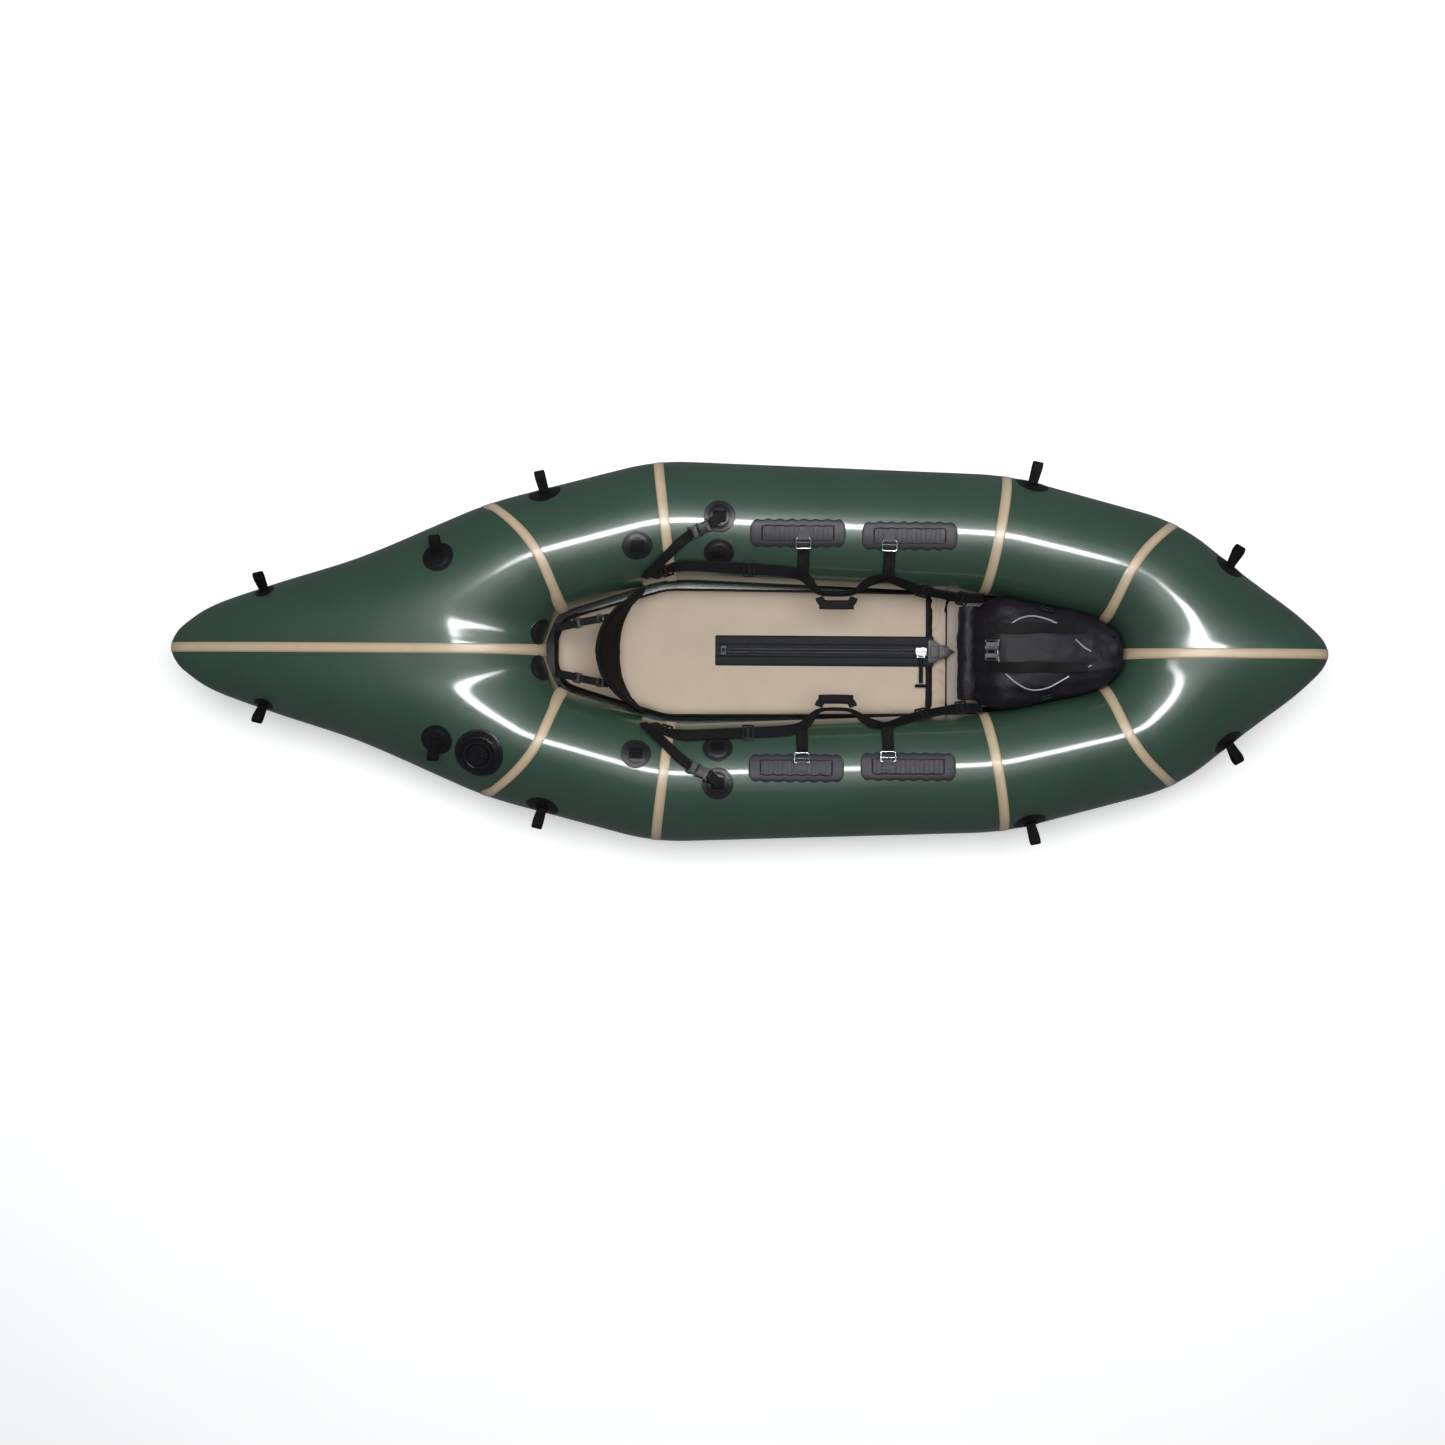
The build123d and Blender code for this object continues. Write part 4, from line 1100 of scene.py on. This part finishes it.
def round_corners(outline, radius, steps=6):
    """Closed plan outline with its corners cut to arcs."""
    ring = []
    count = len(outline)
    for i in range(count):
        before, corner, after = (Vector(outline[(i + k) % count]) for k in (-1, 0, 1))
        a, b = (before - corner), (after - corner)
        reach = min(radius, a.length * 0.45, b.length * 0.45)
        first, last = corner + a.normalized() * reach, corner + b.normalized() * reach
        for k in range(steps + 1):
            t = k / steps
            ring.append(tuple(first * (1 - t) ** 2 + corner * 2 * t * (1 - t) + last * t * t))
    return ring


def spaced(ring, gap):
    """Closed outline with evenly spaced points."""
    line = [Vector(p) for p in ring] + [Vector(ring[0])]
    lengths = [(b - a).length for a, b in zip(line, line[1:])]
    total = sum(lengths)
    count = max(8, int(total / gap))
    result, i, done = [], 0, 0.0
    for k in range(count):
        want = total * k / count
        while done + lengths[i] < want:
            done += lengths[i]
            i += 1
        result.append(line[i].lerp(line[i + 1], (want - done) / max(lengths[i], 1e-9)))
    return result


def inset(ring, amount):
    """Outline moved inwards, its points pushed along their own normals."""
    count = len(ring)
    area = sum(a.x * b.y - a.y * b.x for a, b in zip(ring, ring[1:] + ring[:1]))
    sign = 1 if area > 0 else -1
    moved = []
    for i in range(count):
        along = (ring[(i + 1) % count] - ring[i - 1]).normalized()
        moved.append(ring[i] + Vector((-along.y, along.x)) * amount * sign)
    return moved


def cushion_form(outline, low, high, tuck):
    """Closed form: vertical walls pulled in at the floor, ready to be blown up."""
    shape = Shape()
    ring = spaced(outline, 0.012)
    rows = []
    for share, inwards in ((0, tuck + 0.008), (0.1, tuck), (0.5, 0), (0.9, tuck), (1, tuck + 0.006)):
        rows.append([Vector((p.x, p.y, low + (high - low) * share)) for p in inset(ring, inwards)])
    shape.grid(rows, wrap=True, caps=True)
    return shape


SEAT_HALF = [(-0.496, 0.045), (-0.470, 0.092), (-0.205, 0.170), (0.484, 0.164)]
REST_HALF = [(0.508, 0.150), (0.610, 0.148), (0.862, 0.090), (0.895, 0.040)]
SEAT_TOP, REST_TOP = 0.0755, 0.0695


def finish_cushion(made, top, outline, rim):
    """Flatten the crown, press the rim down and crease the cloth beside the seams."""
    ring = spaced(outline, 0.02)
    for vertex in made.data.vertices:
        co = vertex.co
        if co.z > top - 0.020:
            near = min((Vector((co.x, co.y)) - p).length for p in ring)
            wrinkle = noise.noise(Vector((co.x * 9, co.y * 14, 0.3))) * 0.0012
            ripple = noise.noise(Vector((co.x * 38, co.y * 38, 2.0))) * 0.0011 * math.exp(-near / 0.035)
            co.z = min(co.z + wrinkle + ripple, top - rim * math.exp(-near / 0.012))
        co.z = max(co.z, 0.0062)
    made.data.update()


def side_faces(made, finish, top, outline):
    """Faces outside the rim, and down the side walls, take a second finish; on the seat that finish is painted
    shade.
    """
    made.data.materials.append(FINISH[finish])
    ring = spaced(outline, 0.012)
    for face in made.data.polygons:
        spot = Vector((face.center.x, face.center.y))
        # On the seat these faces take the olive painted shade.
        if face.center.z < top - 0.016 or min((spot - p).length for p in ring) < 0.0095:
            face.material_index = 1


def make_cushion(name, half, top, slot, side_finish):
    """Blown-up cushion with a pressed rim and side walls of a second finish, on the seat a dark olive painted
    as the shade down its walls.
    """
    outline = round_corners(both_sides(half), 0.030)
    form = cushion_form(outline, 0.009, top - 0.004, 0.0015)
    made = form.piece(f"{name}_piece", slot, name)
    inflate(made, voxel=0.008, cap=0.005, pressure=1.5)
    finish_cushion(made, top, outline, 0.004)
    made.data.materials.clear()
    made.data.materials.append(FINISH[slot])
    side_faces(made, side_finish, top, outline)
    return made, outline


def rim_line(outline, tree, inwards, height):
    """Line round a cushion's top, following its real surface."""
    line = []
    for p in inset(spaced(outline, 0.010), inwards):
        spot = tree.ray_cast(Vector((p.x, p.y, 1.0)), -Z)[0] or tree.find_nearest(Vector((p.x, p.y, 0.072)))[0]
        line.append(spot + Z * height)
    return line


def make_seat():
    """Long air seat, its binding fuller at the stern (partly real binding, partly a dark band painted in for
    shade), and the seam bar across its bow end.
    """
    made, outline = make_cushion("seat_cushion", SEAT_HALF, SEAT_TOP, "cushion_fabric", "side_wall_shade")
    tree = tree_of(made)
    binding = Shape()
    line = rim_line(outline, tree, 0.0085, 0.0006)
    # Fuller at the stern: partly the real wider binding, partly a dark band painted in for the shade along the
    # seat's stern end.
    sizes = [0.0048 + 0.0035 * max(0.0, min(1.0, (-0.40 - p.x) / 0.06)) for p in line]
    binding.tube(line, sizes, loop=True, sides=12, flat=0.55)
    bar = [lie(0.468, -0.150 + 0.010 * k, 0.0012, tree)[0] for k in range(31)]
    binding.tube(bar, 0.0075, sides=12, flat=0.45)
    binding.piece("seat_cushion_piping_piece", "black_piping", "seat_cushion_piping")


def make_seat_gusset():
    """Slack cloth that joins the seat to the front rest, creased across."""
    rows, metres = [], []
    for i in range(25):
        x = 0.476 + 0.038 * i / 24
        row = []
        for k in range(121):
            y = (k / 120 - 0.5) * 0.316
            crease = noise.noise(Vector((x * 30, y * 42, 7.0))) * 0.0065
            crease += noise.noise(Vector((x * 90, y * 60, 3))) * 0.002
            row.append(Vector((x, y, 0.0600 + 0.004 * abs(i / 12 - 1) ** 2 + crease)))
        rows.append(row)
        metres.append([(p.y, x) for p in row])
    cloth = Shape()
    cloth.grid(rows, metres=metres)
    made = cloth.piece("seat_front_gusset", "cushion_fabric", crease=80)


def make_front_rest():
    """Small cushion ahead of the seat, bound like it."""
    made, outline = make_cushion("front_cushion", REST_HALF, REST_TOP, "front_fabric", "front_fabric")
    tree = tree_of(made)
    binding = Shape()
    binding.tube(rim_line(outline, tree, 0.0080, 0.0006), 0.0046, loop=True, sides=12, flat=0.7)
    binding.piece("front_cushion_piping_piece", "black_piping", "front_cushion_piping")


make_seat()
make_seat_gusset()
make_front_rest()


# -------------------------------------------------------------------- zipper
ZIP_Y = 0.006
ZIP_TOP = 0.0762


def make_zip():
    """Coated tape with two raised rails, an end stop, and the dock the slider parks in."""
    tape = Shape()
    rows, metres = [], []
    for i in range(143):
        x = -0.079 + 0.561 * i / 142
        row, row_metres = [], []
        for k in range(33):
            w = (k / 32 - 0.5) * 0.076
            lift = 0.0010 if 0 < k < 32 else -0.0008
            for groove in (0.0345, 0.0165):
                if abs(abs(w) - groove) < 0.0013:
                    lift -= 0.0007
            if abs(w) < 0.0155:
                lift += 0.0009
            row.append(Vector((x, ZIP_Y + w, ZIP_TOP + lift)))
            row_metres.append((w, x))
        rows.append(row)
        metres.append(row_metres)
    tape.grid(rows, metres=metres)
    edge = [Vector((x, y, ZIP_TOP)) for x, y in shifted(rounded(0.561, 0.076, 0.003, 3), 0.2015, ZIP_Y)]
    tape.tube(edge, 0.0011, loop=True, sides=8)
    tape.piece("zipper_tape_piece", "zip_tape", "zipper_tape", crease=50)
    rails = Shape()
    for y in (ZIP_Y - 0.0040, ZIP_Y + 0.0040):
        line = [Vector((-0.050 + 0.516 * k / 60, y, ZIP_TOP + 0.0028)) for k in range(61)]
        rails.tube(line, 0.0030, sides=12, flat=0.8)
    box = Matrix.Translation((-0.059, ZIP_Y, ZIP_TOP + 0.0034))
    rails.plate(rounded(0.015, 0.024, 0.003), 0.0052, box, [rounded(0.006, 0.010, 0.0015, 2)], 0.001)
    rails.piece("zipper_rails_piece", "zip_teeth", "zipper_rails")
    dock = Shape()
    nose = [(0.468, -0.030), (0.484, -0.030), (0.500, -0.0175), (0.517, -0.0165), (0.523, -0.006), (0.538, 0),
            (0.523, 0.006), (0.517, 0.0165), (0.500, 0.0175), (0.484, 0.030), (0.468, 0.030)]
    dock.plate(shifted(nose, 0, ZIP_Y), 0.0030, Matrix.Translation((0, 0, ZIP_TOP + 0.0038)), (), 0.001)
    dock.plate(shifted(rounded(0.024, 0.030, 0.005), 0.486, ZIP_Y), 0.0030,
               Matrix.Translation((0, 0, ZIP_TOP + 0.0062)), (), 0.001)
    dock.piece("zipper_dock_piece", "black_plastic", "zipper_dock")


def make_zip_slider():
    """Domed cast slider with a bridge, and the cord pull with its cross bar."""
    body = Shape()
    place = Matrix.Translation((0.450, ZIP_Y, ZIP_TOP + 0.0074))
    waist = [(-0.014, -0.0065), (-0.009, -0.0100), (0.004, -0.0085), (0.014, -0.0105), (0.014, 0.0105),
             (0.004, 0.0085), (-0.009, 0.0100), (-0.014, 0.0065)]
    body.plate(waist, 0.0034, place, (), 0.0012)
    arch = ((-0.010, 0, 0.001), (-0.007, 0, 0.0042), (0.0, 0, 0.0052), (0.008, 0, 0.0042), (0.011, 0, 0.001))
    bridge = curve_through([place @ Vector(p) for p in arch], 5)
    body.tube(bridge, 0.0024, sides=12, flat=0.7)
    for side in (-1, 1):
        flank = [place @ Vector((x, side * 0.0090, -0.0022)) for x in (-0.011, -0.004, 0.004, 0.011)]
        body.tube(flank, 0.0022, sides=10)
    pin = [Vector((x, ZIP_Y - 0.0145, 0.082)) for x in (0.4415, 0.447, 0.453, 0.4585)]
    body.tube(pin, 0.0015, sides=12)
    for x in (0.4415, 0.4585):
        body.tube([Vector((x, ZIP_Y - 0.0090, 0.082)), Vector((x, ZIP_Y - 0.0120, 0.082)),
                   Vector((x, ZIP_Y - 0.0160, 0.082))], 0.0019, sides=10, up=X)
    body.piece("zipper_slider_piece", "slider_metal", "zipper_slider", body="zipper_slider")
    pull = Shape()
    webbing = [(Vector((0.450, ZIP_Y - 0.0155 - 0.0655 * k / 24, 0.0832 + 0.0006 * math.sin(k * 0.9))), Z)
               for k in range(25)]
    pull.ribbon(webbing, 0.0105, 0.0018)
    bar = [Vector((0.435 + 0.030 * k / 12, ZIP_Y - 0.088, 0.0825)) for k in range(13)]
    pull.tube(bar, [0.0030] + [0.0042] * 11 + [0.0030], sides=14)
    pull.piece("zipper_pull_piece", "black_webbing", "zipper_pull", body="zipper_pull")


make_zip()
make_zip_slider()


# ------------------------------------------------------------------- backband
BACK_LINE = [(-0.262, 0.157), (-0.291, 0.132), (-0.322, 0.097), (-0.345, 0.052), (-0.353, 0)]
BACK_TALL = [0.054, 0.078, 0.108, 0.126, 0.132]
BACK_LEAN = [0, 6, 14, 21, 24]


def make_backband():
    """Foam band bound all round, quilted in panels, leaning back in the middle."""
    line = BACK_LINE + [(x, -y) for x, y in reversed(BACK_LINE[:-1])]
    tall = BACK_TALL + BACK_TALL[-2::-1]
    lean = BACK_LEAN + BACK_LEAN[-2::-1]
    spots = curve_through([(x, y, 0.160) for x, y in line], 12)
    heights = eased(tall, 12)
    tilts = eased(lean, 12)
    band, rim_top, rim_low = [], [], []
    count = len(spots)
    for i, spot in enumerate(spots):
        along = (spots[min(i + 1, count - 1)] - spots[max(i - 1, 0)]).normalized()
        tilt = math.radians(tilts[i])
        flat = Vector((-along.y, along.x, 0)) * -1
        out = (flat if flat.x > 0 else -flat)
        face = (out * math.cos(tilt) + Z * math.sin(tilt)).normalized()
        rise = (Z * math.cos(tilt) - out * math.sin(tilt)).normalized()
        share = i / (count - 1)
        seam = min(abs(share - s) for s in (0.0, 0.16, 0.34, 0.66, 0.84, 1.0))
        puff = 0.0045 + 0.0030 * (1 - math.exp(-(seam / 0.016) ** 2))
        half = heights[i] / 2 - 0.003
        ring = []
        for k in range(40):
            a = 2 * math.pi * k / 40
            c, s = math.cos(a), math.sin(a)
            up = half * math.copysign(abs(s) ** 0.55, s)
            channel = 1 - 0.30 * math.exp(-((up - half * 0.32) / 0.004) ** 2) - 0.30 * math.exp(
                -((up + half * 0.38) / 0.004) ** 2)
            across = puff * math.copysign(abs(c) ** 0.45, c) * channel
            ring.append(spot + face * across + rise * up)
        band.append(ring)
        rim_top.append(spot + rise * half)
        rim_low.append(spot - rise * half)
    pad = Shape()
    pad.grid(band, wrap=True, caps=True)
    made = pad.piece("backband_piece", "backband_fabric", "backband", body="backband", crease=70)
    binding = Shape()
    binding.tube(rim_top + rim_low[::-1], 0.0036, loop=True, sides=12)
    binding.piece("backband_binding", "black_webbing", body="backband")


make_backband()


# -------------------------------------------------------------------- bow bag
# Middle of each section of the bag along and up, its half width and half height.
BAG_SECTIONS = [(0.568, 0.163, 0.108, 0.022), (0.596, 0.172, 0.128, 0.044), (0.650, 0.188, 0.145, 0.064),
                (0.760, 0.198, 0.123, 0.064), (0.860, 0.204, 0.101, 0.050), (0.925, 0.210, 0.066, 0.034),
                (0.946, 0.212, 0.032, 0.018)]


def make_bag_body():
    """Lofted dry bag, limp along its sides, creased towards the roll and the nose."""
    steps = 10
    middle = curve_through([(x, z, 0) for x, z, _, _ in BAG_SECTIONS], steps)
    sizes = curve_through([(w, h, 0) for _, _, w, h in BAG_SECTIONS], steps)
    rows = []
    for (x, z, _), (half_w, half_h, _) in zip(middle, sizes):
        row = []
        for k in range(96):
            a = 2 * math.pi * k / 96
            c, s = math.cos(a), math.sin(a)
            y = half_w * math.copysign(abs(c) ** 0.92, c)
            up = half_h * math.copysign(abs(s) ** 0.85, s)
            pinch = math.exp(-((x - 0.600) / 0.040) ** 2) + 0.7 * math.exp(-((x - 0.940) / 0.035) ** 2)
            fold = noise.noise(Vector((x * 16, y * 34, s * 2.0))) * 0.0045
            fold += noise.noise(Vector((x * 40, y * 55, s * 3.0 + 5))) * 0.0022
            pleat = math.sin(y * 150 + 3 * noise.noise(Vector((x * 9, y * 9, 0)))) * 0.0022 * pinch
            out = Vector((0, c, s))
            row.append(Vector((x, y, z + up)) + out * (fold + pleat - 0.002))
        rows.append(row)
    shape = Shape()
    shape.grid(rows, wrap=True, caps=True)
    made = shape.piece("bow_bag_piece", "bag_fabric", "bow_bag", crease=70)
    return tree_of(made)


def make_roll_top():
    """Mouth of the bag rolled up on itself: a spiral section with soft, uneven ends."""
    rows = []
    for i in range(61):
        share = i / 30 - 1
        y = 0.117 * share
        squeeze = 1 - 0.10 * abs(share) ** 3 + 0.03 * math.sin(share * 7)
        row = []
        for k in range(72):
            a = 2 * math.pi * k / 72
            step = 0.0035 * ((a / (2 * math.pi) + 0.18) % 1.0)
            sag = noise.noise(Vector((y * 26, a * 0.9, 1.5))) * 0.0035
            sag += noise.noise(Vector((y * 70, a * 2.0, 4.5))) * 0.0014
            row.append(Vector((0.563 + (0.0262 + step + sag) * squeeze * math.cos(a), y,
                               0.162 + (0.0292 + step + sag) * squeeze * math.sin(a))))
        rows.append(row)
    shape = Shape()
    shape.grid(rows, wrap=True, caps=True)
    for end in (0, -1):
        ring = rows[end]
        middle = sum(ring, Vector()) / len(ring)
        side = -1 if end == 0 else 1
        coil = []
        for k in range(70):
            a = k * 0.28
            size = 0.024 * (1 - k / 78)
            coil.append(middle + Vector((size * math.cos(a), side * 0.0008, size * math.sin(a))))
        shape.tube(coil, 0.0011, sides=6, up=Y)
    made = shape.piece("bag_roll_top_piece", "bag_fabric", "bag_roll_top", crease=60)


def on_bag(tree, spots, height):
    """Frames lying at a height over the bag."""
    return [lie(x, y, height, tree) for x, y in spots]


def calm(frames, rounds=3):
    """Strap pulled tight: its bumps are averaged away, but it never sinks."""
    for _ in range(rounds):
        before, after = frames[:1] + frames[:-1], frames[1:] + frames[-1:]
        frames = [(max(spot, (a[0] + b[0]) / 2, key=lambda p: p.z), (a[1] + up + b[1]).normalized())
                  for (spot, up), a, b in zip(frames, before, after)]
    return frames


def make_bag_trim(tree):
    """Two lashing straps, three eyes at the nose and silver piping sewn along the folds."""
    straps = Shape()
    for y in (0.061, -0.036):
        spots = [(0.604 + 0.0064 * k, y + 0.001 * math.sin(k * 0.4)) for k in range(41)]
        straps.ribbon(calm(on_bag(tree, spots, 0.0022)), 0.028, 0.0018)
    for x, y in ((0.922, 0.040), (0.934, 0.0), (0.922, -0.040)):
        point, _ = lie(x, y, 0.0045, tree)
        place = seat(point, Y, X)
        ring = [place @ Vector((0.0042 * math.cos(a), 0.0042 * math.sin(a), 0))
                for a in (2 * math.pi * k / 20 for k in range(20))]
        straps.tube(ring, 0.0015, loop=True, sides=8, up=Y)
    straps.piece("bag_straps_piece", "black_webbing", "bag_straps")
    piping = Shape()
    arcs = [[(0.632, 0.033), (0.6295, 0.008), (0.632, -0.022)],
            [(0.650, 0.062), (0.678, 0.083), (0.712, 0.092), (0.752, 0.084), (0.786, 0.068)],
            [(0.648, -0.052), (0.676, -0.076), (0.712, -0.092), (0.756, -0.086), (0.806, -0.058)],
            [(0.822, 0.034), (0.845, 0.014), (0.862, 0.004)],
            [(0.864, -0.030), (0.848, -0.038)]]
    for arc in arcs:
        spots = [(p.x, p.y) for p in curve_through([(x, y, 0) for x, y in arc], 10)]
        piping.tube([point for point, _ in calm(on_bag(tree, spots, 0.0016), 1)], 0.0017, sides=8)
    piping.piece("bag_piping_piece", "reflective_piping", "bag_piping")


def make_bag_buckle():
    """Side-release buckle across the boat: socket to port, plug to starboard."""
    low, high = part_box("bag_buckle_socket")
    place = Matrix.Translation((0.612, 0.019, (low.z + high.z) / 2)) @ Matrix.Rotation(math.pi / 2, 4, "Z")
    socket = Shape()
    hood = [(-0.013, -0.014), (-0.010, -0.018), (-0.004, -0.018), (-0.002, -0.0145), (0.005, -0.0145),
            (0.009, -0.018), (0.013, -0.016), (0.013, 0.016), (0.009, 0.018), (0.005, 0.0145),
            (-0.002, 0.0145), (-0.004, 0.018), (-0.010, 0.018), (-0.013, 0.014)]
    socket.plate(hood, 0.0105, place, [shifted(rounded(0.0035, 0.024, 0.001, 2), 0.0095)], 0.0014)
    raised_panel = place @ Matrix.Translation((-0.002, 0, 0.0056))
    socket.plate(rounded(0.012, 0.020, 0.003), 0.0012, raised_panel, (), 0.0005)
    socket.piece("bag_buckle_socket_piece", "bag_buckle_plastic", "bag_buckle_socket")
    plug = Shape()
    place = Matrix.Translation((0.612, -0.011, (low.z + high.z) / 2)) @ Matrix.Rotation(math.pi / 2, 4, "Z")
    plug.plate(rounded(0.019, 0.034, 0.004), 0.0085, place, [shifted(rounded(0.0035, 0.024, 0.001, 2), -0.005)],
               0.0012)
    for side in (-1, 1):
        arm = rounded(0.014, 0.0045, 0.001, 2)
        plug.plate(shifted(arm, 0.016, side * 0.010), 0.0035, place, (), 0.0006)
    plug.piece("bag_buckle_plug_piece", "bag_buckle_plastic", "bag_buckle_plug")


BAG_TREE = make_bag_body()
make_roll_top()
make_bag_trim(BAG_TREE)
make_bag_buckle()
make_adjusters(BAG_TREE)


# ---------------------------------------------------------------------- valve
VALVE = (-0.666, 0.262)


def lathe(shape, place, profile, sides=72, ribbed=0.0, count=0):
    """Turned form; ribbed adds a grip of count grooves to its outer rows."""
    rows = []
    for radius, height in profile:
        row = []
        for k in range(sides):
            a = 2 * math.pi * k / sides
            bite = ribbed * (0.5 + 0.5 * math.cos(a * count)) if radius > profile[0][0] * 0.93 else 0
            row.append(place @ Vector(((radius - bite) * math.cos(a), (radius - bite) * math.sin(a), height)))
        rows.append(row)
    shape.grid(rows, wrap=True, caps=True)


def make_valve():
    """Ribbed rubber flange on the starboard quarter, its collar and screw cap."""
    flange = Shape()
    profile = [(0.062, 0.0002), (0.0612, 0.0022)]
    for k in range(5):
        radius = 0.0585 - 0.0036 * k
        profile += [(radius, 0.0030), (radius - 0.0018, 0.0042 if k else 0.0038)]
    profile += [(0.0405, 0.0040), (0.0395, 0.0062)]
    point, normal = lie(*VALVE)
    place = seat(point, normal, X)
    rows = []
    for radius, height in profile:
        rows.append([drape(place, radius * math.cos(a), radius * math.sin(a), height)
                     for a in (2 * math.pi * k / 96 for k in range(96))])
    flange.grid(rows, wrap=True)
    flange.mirrored().piece("valve_flange_piece", "valve_rubber", "valve_flange", crease=40)
    collar = Shape()
    lathe(collar, place, [(0.0385, 0.0005), (0.0385, 0.0105), (0.0372, 0.0125), (0.0345, 0.0130),
                          (0.0330, 0.0118), (0.0318, 0.0122), (0.0295, 0.0118), (0.0286, 0.0100),
                          (0.0284, 0.0042), (0.002, 0.0040)])
    collar.mirrored().piece("valve_collar_piece", "valve_plastic", "valve_collar", crease=30)
    cap = Shape()
    lathe(cap, place, [(0.0275, 0.0048), (0.0275, 0.0128), (0.0262, 0.0145), (0.0225, 0.0148),
                       (0.0215, 0.0132), (0.0190, 0.0132), (0.0178, 0.0148), (0.0100, 0.0152),
                       (0.002, 0.0152)], 108, 0.0016, 18)
    for turn in (0, 90):
        bar = place @ Matrix.Rotation(math.radians(turn), 4, "Z") @ Matrix.Translation((0, 0, 0.0162))
        cap.plate(rounded(0.038, 0.0065, 0.002), 0.0034, bar, (), 0.001)
    cap.mirrored().piece("valve_cap_piece", "valve_plastic", "valve_cap", body="valve_cap", crease=30)


make_valve()


# ---------------------------------------------------------------------- floor
def make_hull_floor():
    """Floor sheet stretched under the tubes, sagging a little between them."""
    half = [(-0.640, 0), (-0.615, 0.110), (-0.542, 0.199), (-0.212, 0.290), (0.627, 0.259), (0.973, 0.174),
            (1.040, 0.090), (1.060, 0)]
    ring = spaced(both_sides(half)[:-1], 0.02)
    rows = []
    for share in (1.0, 0.985, 0.9, 0.75, 0.5, 0.25, 0.02):
        rows.append([Vector((0.2 + (p.x - 0.2) * share, p.y * share,
                             0.0042 - 0.0012 * math.sin(math.pi * share))) for p in ring])
    sheet = Shape()
    sheet.grid(rows, wrap=True)
    sheet.faces.append(tuple(range(len(sheet.points) - len(ring), len(sheet.points))))
    made = sheet.piece("hull_floor_piece", "floor_fabric", "hull_floor", crease=60)


make_hull_floor()
